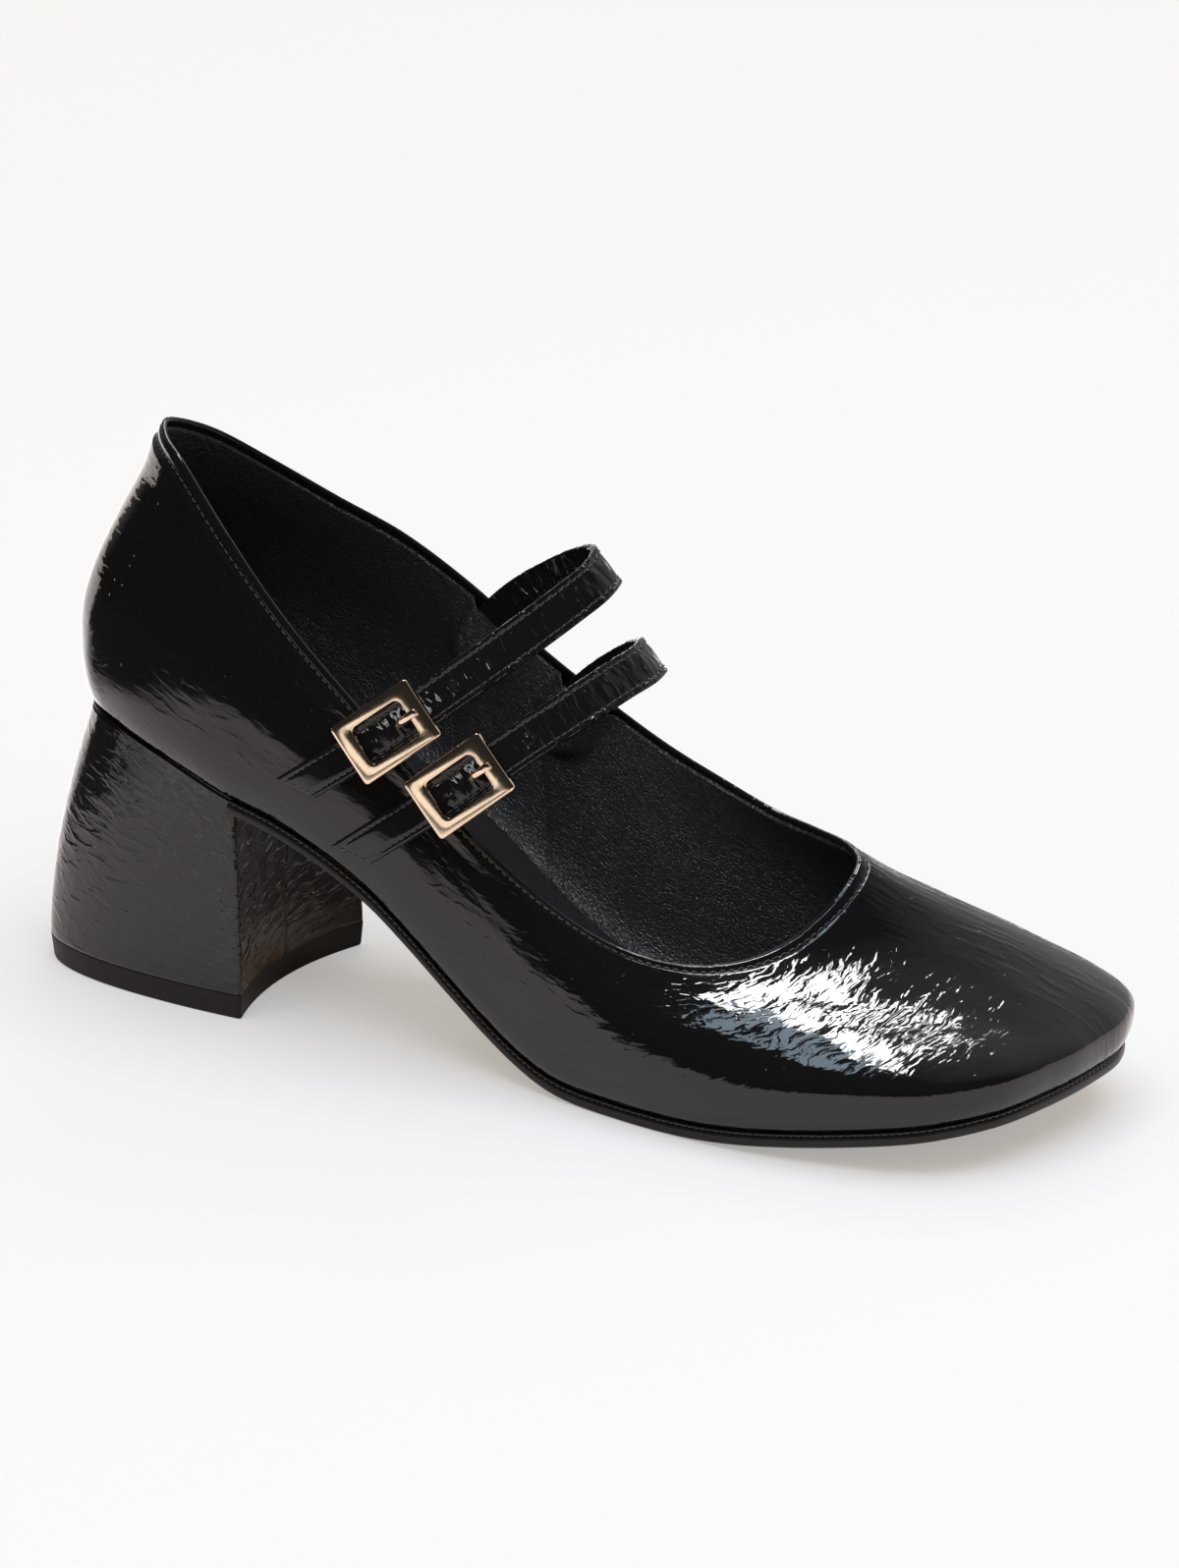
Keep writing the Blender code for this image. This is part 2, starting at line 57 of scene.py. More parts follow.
# the last: the shoe's own lines in millimetres, heel at x = 0, inner side +y, floor z = 0
last = dict(
    centre=(114.85, -0.7),   # plan point that lies on the frame's origin
    outline=[(2.4, 0), (6.9, -13.8), (22, -23), (42, -27.5), (64, -28.5), (87, -28.5), (110, -30), (132, -34),
             (154, -38), (176, -39.5), (198, -38), (215.5, -33.5), (227, -23), (232.5, -9), (235.2, 5.3),
             (235.1, 20), (228.5, 32.3), (209, 37.2), (188, 38), (166, 36.5), (145, 33), (124, 29),
             (102, 26.5), (80, 26.5), (60, 27.5), (40, 27), (22, 22.5), (7.6, 13.2)],
    topline=[(19.5, 0, 120), (23, -7.5, 119), (32.5, -15, 115.5), (47, -20.5, 103), (62, -23, 88.5),
             (78, -24.5, 75), (94, -25.5, 62), (110, -26.5, 50), (126, -26.8, 40.5), (141, -26, 34),
             (155, -23, 31.5), (164.5, -17, 32), (171, -9.5, 34.5), (175, -2, 38.5), (177.5, 5, 43),
             (177, 12, 46.5), (172, 17, 47.8), (163, 21, 48.2), (152, 23.8, 49.2), (139, 25.3, 53),
             (125, 25.5, 58.5), (110, 25, 66.5), (96, 24.3, 75), (80, 23.8, 86), (64, 23, 95),
             (49, 20.8, 101.5), (35, 16.5, 109), (25, 9.5, 116)],
    sole=[(0, 56.5), (15, 55), (30, 52), (49, 46), (60, 43), (74, 37), (84, 31), (93, 24), (103, 15.8),
          (111, 9.8), (119, 4.9), (127, 1.6), (135, 0.2), (140, 0), (156, 0), (165, 0.3),
          (175, 1.2), (189, 3.2), (200, 5), (211, 6.9), (222, 8.8), (236, 11)],
    widestRise=[(0, 17), (40, 16), (90, 13), (140, 10), (200, 9), (236, 7)],
    soleThick=2.6, gap=0.3, tuck=3.2,
)
stationCount = len(last["outline"])


# Smooth curve through the points at station numbers s: cubic spans, tangents weighted by chord length.
def curveAt(points, s, closed):
    p = np.array(points, float)
    n = len(p)
    i = np.floor(s).astype(int)
    i = i % n if closed else np.clip(i, 0, n - 2)
    t = (s - np.floor(s) if closed else s - i)[:, None]
    if closed:
        a, b, c, d = p[i - 1], p[i], p[(i + 1) % n], p[(i + 2) % n]
    else:
        b, c = p[i], p[i + 1]
        a = np.where((i > 0)[:, None], p[np.maximum(i - 1, 0)], 2 * b - c)
        d = np.where((i + 2 < n)[:, None], p[np.minimum(i + 2, n - 1)], 2 * c - b)
    size = lambda q: np.linalg.norm(q, axis=1)[:, None]
    chord = size(c - b)
    m1 = (c - a) * chord / (size(b - a) + chord)
    m2 = (d - b) * chord / (size(d - c) + chord)
    return ((2 * t ** 3 - 3 * t ** 2 + 1) * b + (t ** 3 - 2 * t ** 2 + t) * m1
            + (3 * t ** 2 - 2 * t ** 3) * c + (t ** 3 - t ** 2) * m2)


# Height along the length: cubic spans through (x, value) points.
def profileAt(points, x):
    data = np.array(points, float)
    px, py = data[:, 0], data[:, 1]
    h = np.diff(px)
    slope = np.diff(py) / h
    tangent = np.r_[slope[0], (slope[:-1] * h[1:] + slope[1:] * h[:-1]) / (h[1:] + h[:-1]), slope[-1]]
    x = np.asarray(x, float)
    i = np.clip(np.searchsorted(px, x) - 1, 0, len(px) - 2)
    t = np.clip((x - px[i]) / h[i], 0, 1)
    return ((2 * t ** 3 - 3 * t ** 2 + 1) * py[i] + (t ** 3 - 2 * t ** 2 + t) * h[i] * tangent[i]
            + (3 * t ** 2 - 2 * t ** 3) * py[i + 1] + (t ** 3 - t ** 2) * h[i] * tangent[i + 1])


# Height of the sole's underside: the sole profile, never under the floor.
def soleZ(x):
    return np.maximum(profileAt(last["sole"], x), 0)


# Height of the feather line, where the upper meets the sole: underside plus sole thickness plus the gap.
def featherZ(x):
    return soleZ(x) + last["soleThick"] + last["gap"]


# Each row divided by its own length.
def unitRows(v):
    return v / np.maximum(np.linalg.norm(v, axis=-1, keepdims=True), 1e-9)


# Closed plan loop moved inward square to its own direction.
def insetLoop(loop, amount):
    step = np.roll(loop, -1, 0) - np.roll(loop, 1, 0)
    return loop + unitRows(np.stack([-step[:, 1], step[:, 0]], 1)) * amount


# Cubic Bezier columns: a to d with handles b and c, t running along axis 1.
def bezier(a, b, c, d, t):
    a, b, c, d = (q[:, None, :] for q in (a, b, c, d))
    t = t[None, :, None]
    return (1 - t) ** 3 * a + 3 * t * (1 - t) ** 2 * b + 3 * t ** 2 * (1 - t) * c + t ** 3 * d


# Outer face of the upper: at each station one curve from topline down over the widest line to the feather.
def upperColumns(s, fine=90):
    wide = curveAt(last["outline"], s, True)
    edge = insetLoop(wide, last["tuck"])
    top = curveAt(last["topline"], s, True)
    foot = np.c_[edge, featherZ(edge[:, 0])]
    rise = profileAt(last["widestRise"], wide[:, 0])
    side = np.c_[wide, featherZ(wide[:, 0]) + rise]
    up = np.zeros_like(side)
    up[:, 2] = 1
    out = side - foot
    out[:, 2] = 0
    low = bezier(foot, foot + out * 0.75 + up * (0.12 * rise)[:, None], side - up * (0.55 * rise)[:, None],
                 side, np.linspace(0, 1, 40))
    front = np.clip((wide[:, 0] - 165) / 50, 0, 1)
    front = (front * front * (3 - 2 * front))[:, None]
    run = top - side
    height = run[:, 2:3].copy()
    run[:, 2] = 0
    high = bezier(side, side + up * (0.36 - 0.08 * front) * height,
                  top - run * 0.28 - up * (0.34 + 0.04 * front) * height, top,
                  np.linspace(0, 1, fine))
    return np.concatenate([low, high[:, 1:]], axis=1)[:, ::-1]


# Resamples each column: first at the given distances (mm) from its start, then evenly to its end.
def byLength(columns, near, restCount):
    step = np.linalg.norm(np.diff(columns, axis=1), axis=2)
    length = np.concatenate([np.zeros((len(columns), 1)), np.cumsum(step, axis=1)], axis=1)
    near = np.asarray(near, float)
    rest = near[-1] + (length[:, -1:] - near[-1]) * np.linspace(0, 1, restCount + 1)[None, 1:]
    want = np.concatenate([np.repeat(near[None], len(columns), 0), rest], axis=1)
    want = np.minimum(want, length[:, -1:] - 1e-6)
    k = np.clip((length[:, None, :] <= want[:, :, None]).sum(2) - 1, 0, columns.shape[1] - 2)
    row = np.arange(len(columns))[:, None]
    share = (want - length[row, k]) / np.maximum(length[row, k + 1] - length[row, k], 1e-9)
    return columns[row, k] + (columns[row, k + 1] - columns[row, k]) * share[..., None], want


# Unit normals of a grid that point away from the inside of the shoe.
def gridNormals(grid, closed=True):
    along = np.roll(grid, -1, 0) - np.roll(grid, 1, 0) if closed else np.gradient(grid, axis=0)
    down = np.gradient(grid, axis=1)
    return unitRows(np.cross(down, along))


# Quads of an nu by nv grid; the flags join its last column or row to the first.
def gridFaces(nu, nv, closeU, closeV=False):
    across, down = nu if closeU else nu - 1, nv if closeV else nv - 1
    i, j = (k.ravel() for k in np.meshgrid(np.arange(across), np.arange(down), indexing="ij"))
    i2, j2 = (i + 1) % nu, (j + 1) % nv
    faces = np.stack([i * nv + j, i * nv + j2, i2 * nv + j2, i2 * nv + j], 1)
    corners = np.stack([i, j, i, j + 1, i + 1, j + 1, i + 1, j], 1).reshape(-1, 4, 2)
    return faces, corners


# Repeatable smooth random field, about -1 to 1: a coarse random grid blended with cosine weights.
def smoothNoise(shape, cell, seed):
    rng = np.random.default_rng(seed)
    nu, nv = int(shape[0] / cell[0]) + 2, int(shape[1] / cell[1]) + 2
    coarse = rng.uniform(-1, 1, (nu, nv))
    coarse[-1] = coarse[0]
    u = np.arange(shape[0]) / shape[0] * (nu - 1)
    v = np.arange(shape[1]) / shape[1] * (nv - 1)
    iu, iv = u.astype(int), v.astype(int)
    fu = ((1 - np.cos((u - iu) * np.pi)) / 2)[:, None]
    fv = ((1 - np.cos((v - iv) * np.pi)) / 2)[None, :]
    a, b = coarse[np.ix_(iu, iv)], coarse[np.ix_(iu + 1, iv)]
    c, d = coarse[np.ix_(iu, iv + 1)], coarse[np.ix_(iu + 1, iv + 1)]
    return (a * (1 - fu) + b * fu) * (1 - fv) + (c * (1 - fu) + d * fu) * fv


# One object from millimetre points; uv is a grid of surface distances (mm) with the faces' corners.
def meshPiece(name, verts, faces, material, uv=None, extraFaces=()):
    mesh = bpy.data.meshes.new(name)
    points = (np.asarray(verts, float).reshape(-1, 3) - [*last["centre"], 0]) * 0.001
    mesh.from_pydata(points.tolist(), [], np.asarray(faces).tolist() + [list(f) for f in extraFaces])
    if uv is not None:
        field, corners = uv
        layer = mesh.uv_layers.new(name="surface")
        flat = np.zeros((len(mesh.loops), 2))
        values = field[corners[..., 0], corners[..., 1]].reshape(-1, 2) * 0.001
        flat[:len(values)] = values
        layer.data.foreach_set("uv", flat.ravel())
    mesh.validate()
    mesh.shade_smooth()
    mesh.update()
    piece = bpy.data.objects.new(name, mesh)
    bpy.context.collection.objects.link(piece)
    mesh.materials.append(material)
    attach(piece, "root")
    return piece


# Welds doubled points and turns every face outward on a closed piece.
def closedSolid(piece, merge=1e-6):
    work = bmesh.new()
    work.from_mesh(piece.data)
    bmesh.ops.remove_doubles(work, verts=work.verts, dist=merge)
    bmesh.ops.recalc_face_normals(work, faces=work.faces)
    work.to_mesh(piece.data)
    work.free()
    piece.data.shade_smooth()
    return piece


# End faces of a tube of rows: the first row of m points and the last.
def rowLids(m, rows):
    return [list(range(m)), [(rows - 1) * m + j for j in range(m)]]


# End faces of a block of upright columns: all their first points and all their last.
def columnLids(n, m):
    return [[i * m for i in range(n)], [i * m + m - 1 for i in range(n - 1, -1, -1)]]


# Quads that join the four borders of an n by m grid to those of the same grid below it.
def slabSides(n, m):
    i, j = np.arange(n - 1), np.arange(m - 1)
    under, end = n * m, (n - 1) * m
    return np.concatenate([
        np.stack([i * m, i * m + m, under + i * m + m, under + i * m], 1),
        np.stack([i * m + m - 1, under + i * m + m - 1, under + i * m + 2 * m - 1, i * m + 2 * m - 1], 1),
        np.stack([j, under + j, under + j + 1, j + 1], 1),
        np.stack([end + j, end + j + 1, under + end + j + 1, under + end + j], 1)])


# Carries a closed section of (across, face) pairs along a path; section may change from point to point.
def sweep(name, path, across, face, section, material, closed=False):
    section = np.asarray(section, float)
    if section.ndim == 2:
        section = np.repeat(section[None], len(path), 0)
    grid = path[:, None] + across[:, None] * section[..., :1] + face[:, None] * section[..., 1:]
    faces, corners = gridFaces(len(path), section.shape[1], closed, True)
    run = np.r_[0, np.cumsum(np.linalg.norm(np.diff(path, axis=0), axis=1))]
    run = np.r_[run, run[-1] * 2 - run[-2]]
    girth = np.r_[0, np.cumsum(np.linalg.norm(np.diff(section[0], axis=0), axis=1))]
    girth = np.r_[girth, girth[-1] + 0.3]
    field = np.stack(np.meshgrid(run, girth, indexing="ij"), -1)
    m = section.shape[1]
    ends = [] if closed else rowLids(m, len(path))
    piece = meshPiece(name, grid, faces, material, (field, corners), ends)
    closedSolid(piece)
    return piece


# finishes: node groups shared by the leathers, then one material for each stock

# Empty shader node group with named sockets.
def newGroup(name, inputs, outputs):
    group = bpy.data.node_groups.new(name, "ShaderNodeTree")
    for label, kind, value in inputs:
        socket = group.interface.new_socket(name=label, in_out="INPUT", socket_type=kind)
        if value is not None:
            socket.default_value = value
    for label, kind in outputs:
        group.interface.new_socket(name=label, in_out="OUTPUT", socket_type=kind)
    return group, group.nodes.new("NodeGroupInput"), group.nodes.new("NodeGroupOutput")


# Adds a node; links are (socket, source) pairs, values are sockets or properties by name.
def addNode(tree, kind, links=(), **values):
    node = tree.nodes.new(kind)
    for key, value in values.items():
        if key in node.inputs:
            node.inputs[key].default_value = value
        elif hasattr(node, key):
            setattr(node, key, value)
        else:
            node.inputs[key.replace("_", " ")].default_value = value
    for socket, source in links:
        tree.links.new(source, node.inputs[socket])
    return node


# One math node; each operand is a number or another node's output.
def mathNode(tree, operation, a, b=None, c=None):
    node = tree.nodes.new("ShaderNodeMath")
    node.operation = operation
    for k, value in enumerate((a, b, c)):
        if value is None:
            continue
        if isinstance(value, (int, float)):
            node.inputs[k].default_value = value
        else:
            tree.links.new(value, node.inputs[k])
    return node.outputs[0]


# Straight or smoothed change of a value from one span to another.
def spanNode(tree, value, span, result=(0.0, 1.0), smooth=False):
    node = addNode(tree, "ShaderNodeMapRange", [("Value", value)])
    if smooth:
        node.interpolation_type = "SMOOTHSTEP"
    for label, level in zip(("From Min", "From Max", "To Min", "To Max"), (*span, *result)):
        node.inputs[label].default_value = level
    return node.outputs["Result"]


# Surface distances turned from metres to millimetres.
def inMillimetres(tree, surface):
    node = addNode(tree, "ShaderNodeVectorMath", [(0, surface)], operation="SCALE")
    node.inputs["Scale"].default_value = 1000
    return node.outputs[0]


# Patent crinkle: long folds plus a finer cross set, both bent by a slow swirl and calmed in patches.
def makeCrinkleGroup():
    inputs = [("Surface", "NodeSocketVector", None), ("Fold Width", "NodeSocketFloat", 1.5),
              ("Fold Length", "NodeSocketFloat", 6.0), ("Calm", "NodeSocketFloat", 0.4)]
    group, start, end = newGroup("patentCrinkle", inputs,
                                 [("Height", "NodeSocketFloat"), ("Patches", "NodeSocketFloat")])
    mm = inMillimetres(group, start.outputs["Surface"])
    swirl = addNode(group, "ShaderNodeTexNoise", [("Vector", mm)], Scale=0.09, Detail=2.0)
    centred = addNode(group, "ShaderNodeVectorMath", [(0, swirl.outputs["Color"])], operation="SUBTRACT")
    centred.inputs[1].default_value = (0.5, 0.5, 0.5)
    push = addNode(group, "ShaderNodeVectorMath", [(0, centred.outputs[0])], operation="SCALE")
    push.inputs["Scale"].default_value = 4.0
    bent = addNode(group, "ShaderNodeVectorMath", [(0, mm), (1, push.outputs[0])], operation="ADD")
    inverseWide = mathNode(group, "DIVIDE", 1.0, start.outputs["Fold Width"])
    inverseLong = mathNode(group, "DIVIDE", 1.0, start.outputs["Fold Length"])
    scale = addNode(group, "ShaderNodeCombineXYZ", [("X", inverseWide), ("Y", inverseLong)], Z=1.0)
    long = addNode(group, "ShaderNodeVectorMath", [(0, bent.outputs[0]), (1, scale.outputs[0])],
                   operation="MULTIPLY")
    folds = addNode(group, "ShaderNodeTexNoise", [("Vector", long.outputs[0])], Scale=0.6, Detail=0.8,
                    Roughness=0.45, Distortion=0.35)
    crease = mathNode(group, "ABSOLUTE", mathNode(group, "SUBTRACT", folds.outputs["Fac"], 0.5))
    crease = mathNode(group, "SMOOTH_MIN", mathNode(group, "MULTIPLY", crease, 6.0), 1.0, 0.3)
    fine = addNode(group, "ShaderNodeTexNoise", [("Vector", long.outputs[0])], Scale=1.7, Detail=0.5,
                   Roughness=0.4, Distortion=0.5)
    cross = addNode(group, "ShaderNodeTexNoise", [("Vector", bent.outputs[0])], Scale=0.4, Detail=0.5,
                    Roughness=0.4, Distortion=0.8)
    patches = addNode(group, "ShaderNodeTexNoise", [("Vector", mm)], Scale=0.055, Detail=2.0)
    level = spanNode(group, patches.outputs["Fac"], (0.36, 0.62))
    strength = mathNode(group, "ADD", mathNode(group, "MULTIPLY", level, start.outputs["Calm"]),
                        mathNode(group, "SUBTRACT", 1.0, start.outputs["Calm"]))
    total = mathNode(group, "ADD", mathNode(group, "MULTIPLY", folds.outputs["Fac"], 1.0),
                     mathNode(group, "MULTIPLY", crease, 0.12))
    total = mathNode(group, "ADD", total, mathNode(group, "MULTIPLY", fine.outputs["Fac"], 0.10))
    total = mathNode(group, "ADD", total, mathNode(group, "MULTIPLY", cross.outputs["Fac"], 0.16))
    height = mathNode(group, "MULTIPLY", mathNode(group, "SUBTRACT", total, 1.0), strength)
    group.links.new(height, end.inputs["Height"])
    group.links.new(level, end.inputs["Patches"])
    return group


# Pebbled grain: rounded cells with soft valleys, sizes varied by a slow noise.
def makePebbleGroup():
    group, start, end = newGroup("pebbleGrain",
                                 [("Surface", "NodeSocketVector", None), ("Pebble", "NodeSocketFloat", 0.6)],
                                 [("Height", "NodeSocketFloat"), ("Valley", "NodeSocketFloat")])
    mm = inMillimetres(group, start.outputs["Surface"])
    warp = addNode(group, "ShaderNodeTexNoise", [("Vector", mm)], Scale=0.5, Detail=2.0)
    bent = addNode(group, "ShaderNodeVectorMath", [(0, warp.outputs["Color"]), (1, mm)], operation="ADD")
    perMm = mathNode(group, "DIVIDE", 1.0, start.outputs["Pebble"])
    cells = addNode(group, "ShaderNodeTexVoronoi", [("Vector", bent.outputs[0]), ("Scale", perMm)],
                    feature="SMOOTH_F1")
    cells.inputs["Smoothness"].default_value = 0.6
    fine = addNode(group, "ShaderNodeTexNoise", [("Vector", bent.outputs[0])], Scale=2.4, Detail=3.0)
    dome = mathNode(group, "SUBTRACT", 1.0, cells.outputs["Distance"])
    height = mathNode(group, "ADD", dome, mathNode(group, "MULTIPLY", fine.outputs["Fac"], 0.35))
    group.links.new(height, end.inputs["Height"])
    group.links.new(cells.outputs["Distance"], end.inputs["Valley"])
    return group


# Fine dust and tiny pits: thresholded high-frequency noise.
def makeDustGroup():
    group, start, end = newGroup("fineDust",
                                 [("Surface", "NodeSocketVector", None), ("Amount", "NodeSocketFloat", 0.3),
                                  ("Speck Size", "NodeSocketFloat", 0.5)],
                                 [("Mask", "NodeSocketFloat")])
    mm = inMillimetres(group, start.outputs["Surface"])
    perMm = mathNode(group, "DIVIDE", 0.35, start.outputs["Speck Size"])
    specks = addNode(group, "ShaderNodeTexVoronoi", [("Vector", mm), ("Scale", perMm)], feature="F1")
    rare = addNode(group, "ShaderNodeSeparateColor", [("Color", specks.outputs["Color"])])
    chosen = mathNode(group, "LESS_THAN", rare.outputs[0], start.outputs["Amount"])
    spot = spanNode(group, specks.outputs["Distance"], (0.22, 0.1))
    group.links.new(mathNode(group, "MULTIPLY", spot, chosen), end.inputs["Mask"])
    return group


patentCrinkle, pebbleGrain, fineDust = makeCrinkleGroup(), makePebbleGroup(), makeDustGroup()


# A material with its plain values set on the Principled surface.
def newFinish(name, colour, rough, metal=0.0):
    material = bpy.data.materials.new(name)
    material.use_nodes = True
    tree = material.node_tree
    surface = tree.nodes["Principled BSDF"]
    surface.inputs["Base Color"].default_value = (*colour, 1)
    surface.inputs["Roughness"].default_value = rough
    surface.inputs["Metallic"].default_value = metal
    return material, tree, surface


# Places a node group in a material; links are (socket, source) pairs, values are sockets by name.
def useGroup(tree, group, links=(), **values):
    node = tree.nodes.new("ShaderNodeGroup")
    node.node_tree = group
    for key, value in values.items():
        node.inputs[key.replace("_", " ")].default_value = value
    for socket, source in links:
        tree.links.new(source, node.inputs[socket])
    return node


# The piece's own surface distances, from its UV map.
def surfaceVector(tree):
    return addNode(tree, "ShaderNodeUVMap", uv_map="surface").outputs["UV"]


# A bump whose full height is the given distance in metres.
def bump(tree, height, distance):
    return addNode(tree, "ShaderNodeBump", [("Height", height)], Distance=distance).outputs["Normal"]


# Two colours mixed by a factor; each is a colour or another node's output.
def colourMix(tree, factor, first, second):
    node = tree.nodes.new("ShaderNodeMix")
    node.data_type = "RGBA"
    tree.links.new(factor, node.inputs["Factor"])
    for label, colour in (("A", first), ("B", second)):
        if isinstance(colour, tuple):
            node.inputs[label].default_value = (*colour, 1)
        else:
            tree.links.new(colour, node.inputs[label])
    return node.outputs["Result"]


# The piece's own surface distances turned by an angle, for patterns that run across it.
def turnedSurface(tree, turn):
    place = addNode(tree, "ShaderNodeMapping", [("Vector", surfaceVector(tree))])
    place.inputs["Rotation"].default_value = (0, 0, turn)
    return place.outputs[0]


# Over the inner half of the shoe the folds give way to ones that run straight down from the topline, twice as
# deep: their share rises with y.
def mixInnerFolds(tree, folds, turn, calm):
    straight = useGroup(tree, patentCrinkle, [("Surface", turnedSurface(tree, turn))], Fold_Width=1.3,
                        Fold_Length=7.0, Calm=calm)
    where = addNode(tree, "ShaderNodeTexCoord").outputs["Object"]
    axes = addNode(tree, "ShaderNodeSeparateXYZ", [("Vector", where)])
    share = spanNode(tree, axes.outputs["Y"], (-0.004, 0.012), smooth=True)
    rest = mathNode(tree, "SUBTRACT", 1.0, share)
    inner = mathNode(tree, "MULTIPLY", mathNode(tree, "MULTIPLY", straight.outputs["Height"], 2.0), share)
    return mathNode(tree, "ADD", mathNode(tree, "MULTIPLY", folds, rest), inner)


# Lacquered black leather: crinkle folds and a few pits bend the gloss; the crinkled patches are duller.
def patentFinish(name, foldWidth, foldLength, depth, calm, colour=(0.0045, 0.0045, 0.005), rough=0.025,
                 pits=0.05, turn=0.0, innerTurn=None):
    material, tree, surface = newFinish(name, colour, rough)
    crinkle = useGroup(tree, patentCrinkle, [("Surface", turnedSurface(tree, turn))], Fold_Width=foldWidth,
                       Fold_Length=foldLength, Calm=calm)
    folds = crinkle.outputs["Height"]
    if innerTurn is not None:
        folds = mixInnerFolds(tree, folds, innerTurn, calm)
    specks = useGroup(tree, fineDust, [("Surface", surfaceVector(tree))], Amount=pits, Speck_Size=0.55)
    height = mathNode(tree, "SUBTRACT", folds, mathNode(tree, "MULTIPLY", specks.outputs["Mask"], 0.6))
    tree.links.new(bump(tree, height, depth), surface.inputs["Normal"])
    mottled = spanNode(tree, crinkle.outputs["Patches"], (0, 1), (rough, rough + 0.04))
    tree.links.new(mottled, surface.inputs["Roughness"])
    return material


# Soft dull leather with a fine pebble; the valleys are a little rougher.
def pebbledFinish(name, colour, rough, pebble, depth):
    material, tree, surface = newFinish(name, colour, rough)
    grain = useGroup(tree, pebbleGrain, [("Surface", surfaceVector(tree))], Pebble=pebble)
    tree.links.new(bump(tree, grain.outputs["Height"], depth), surface.inputs["Normal"])
    tone = spanNode(tree, grain.outputs["Valley"], (0, 1), (rough - 0.04, rough + 0.14))
    tree.links.new(tone, surface.inputs["Roughness"])
    return material


# Plain stock with a slow change of tone and a fine tooth, on the piece's own place.
def objectFinish(name, colour, second, rough, scale, depth, metal=0.0, specular=0.5):
    material, tree, surface = newFinish(name, colour, rough, metal)
    surface.inputs["Specular IOR Level"].default_value = specular
    place = addNode(tree, "ShaderNodeTexCoord").outputs["Object"]
    tone = addNode(tree, "ShaderNodeTexNoise", [("Vector", place)], Scale=scale * 0.12, Detail=3.0)
    tooth = addNode(tree, "ShaderNodeTexNoise", [("Vector", place)], Scale=scale, Detail=3.0)
    tree.links.new(colourMix(tree, tone.outputs["Fac"], colour, second), surface.inputs["Base Color"])
    tree.links.new(bump(tree, tooth.outputs["Fac"], depth), surface.inputs["Normal"])
    change = spanNode(tree, tooth.outputs["Fac"], (0, 1), (rough - 0.05, rough + 0.07))
    tree.links.new(change, surface.inputs["Roughness"])
    return material


upperPatent = patentFinish("upperPatent", 0.95, 4.0, 0.00011, 0.45, turn=-1.28, innerTurn=0.1)
heelPatent = patentFinish("heelPatent", 0.9, 3.4, 0.00026, 0.3, turn=-1.42)
# the breast's brown base colour is a painted reflection of the warm shaded floor in front of the heel
breastPatent = patentFinish("breastPatent", 1.2, 4.0, 0.00055, 0.15, (0.008, 0.005, 0.0025), turn=1.3)
strapPatent = patentFinish("strapPatent", 1.2, 2.6, 0.00060, 0.3, pits=0.08)
chapePatent = patentFinish("chapePatent", 1.6, 4.0, 0.00010, 0.5, pits=0.03)
edgePatent = patentFinish("edgePatent", 0.9, 2.4, 0.00012, 0.3, pits=0.0)
liningLeather = pebbledFinish("liningLeather", (0.008, 0.008, 0.009), 0.38, 0.5, 0.00022)
insoleLeather = pebbledFinish("insoleLeather", (0.012, 0.012, 0.014), 0.36, 0.62, 0.00022)
stitchThread = objectFinish("stitchThread", (0.028, 0.028, 0.030), (0.045, 0.045, 0.048), 0.24, 5000, 0.00002)
soleEdgePaint = objectFinish("soleEdgePaint", (0.005, 0.005, 0.005), (0.009, 0.009, 0.009), 0.32, 1500,
                             0.00003, specular=0.3)
soleBoard = objectFinish("soleBoard", (0.50, 0.36, 0.22), (0.42, 0.29, 0.17), 0.45, 1800, 0.00003)
liftRubber = objectFinish("liftRubber", (0.006, 0.006, 0.006), (0.010, 0.010, 0.010), 0.5, 1600, 0.00006,
                          specular=0.25)
paleGold = objectFinish("paleGold", (0.94, 0.75, 0.56), (0.91, 0.71, 0.52), 0.10, 900, 0.000004, metal=1.0)
# painted shade: near-black stock for the discs that stand in for the holes' dark insides
holeDark = objectFinish("holeDark", (0.002, 0.002, 0.002), (0.003, 0.003, 0.003), 0.8, 900, 0.00001)
print("finishes ready")


# upper: outer skin with its folded topline
upperLook = dict(columns=700, rows=62, beadProud=0.30, stitchDepth=2.3, grooveDeep=0.14, bandBack=0.30,
                 puff=0.42, puffFrom=2.45, puffTo=3.7, puffEnd=11.0, foldRadius=0.62, waves=0.16)
# rows of points close to the topline, in mm below it, closest where the bead and the stitch groove lie
nearRows = [0, .15, .3, .5, .7, .9, 1.15, 1.4, 1.65, 1.85, 2.0, 2.12, 2.24, 2.36, 2.5, 2.65, 2.8, 2.95, 3.1,
            3.25, 3.4, 3.6, 3.9, 4.4, 5.2, 6.2, 7.4, 9.0]


# Height over the plain surface at distance d below the topline: round bead, stitch groove, then a step up to
# the padding that fades out lower down.
def edgeRelief(d, padded):
    look = upperLook
    bead = look["beadProud"] * np.clip(1 - ((d - 0.95) / 1.05) ** 2, 0, 1)
    groove = -look["grooveDeep"] * np.exp(-((d - look["stitchDepth"]) / 0.24) ** 2)
    t = np.clip((d - look["puffFrom"]) / (look["puffTo"] - look["puffFrom"]), 0, 1)
    step = (t * t * (3 - 2 * t) * (look["bandBack"] + look["puff"]) - look["bandBack"]) * padded
    t = np.clip((d - look["puffTo"]) / (look["puffEnd"] - look["puffTo"]), 0, 1)
    return bead + groove + step - padded * look["puff"] * t * t * (3 - 2 * t)


# How far the topline is padded at length x: full over the heel, a quarter in front of the instep.
def paddedShare(x):
    return 1 - 0.75 * np.clip((x - 95) / 45, 0, 1)


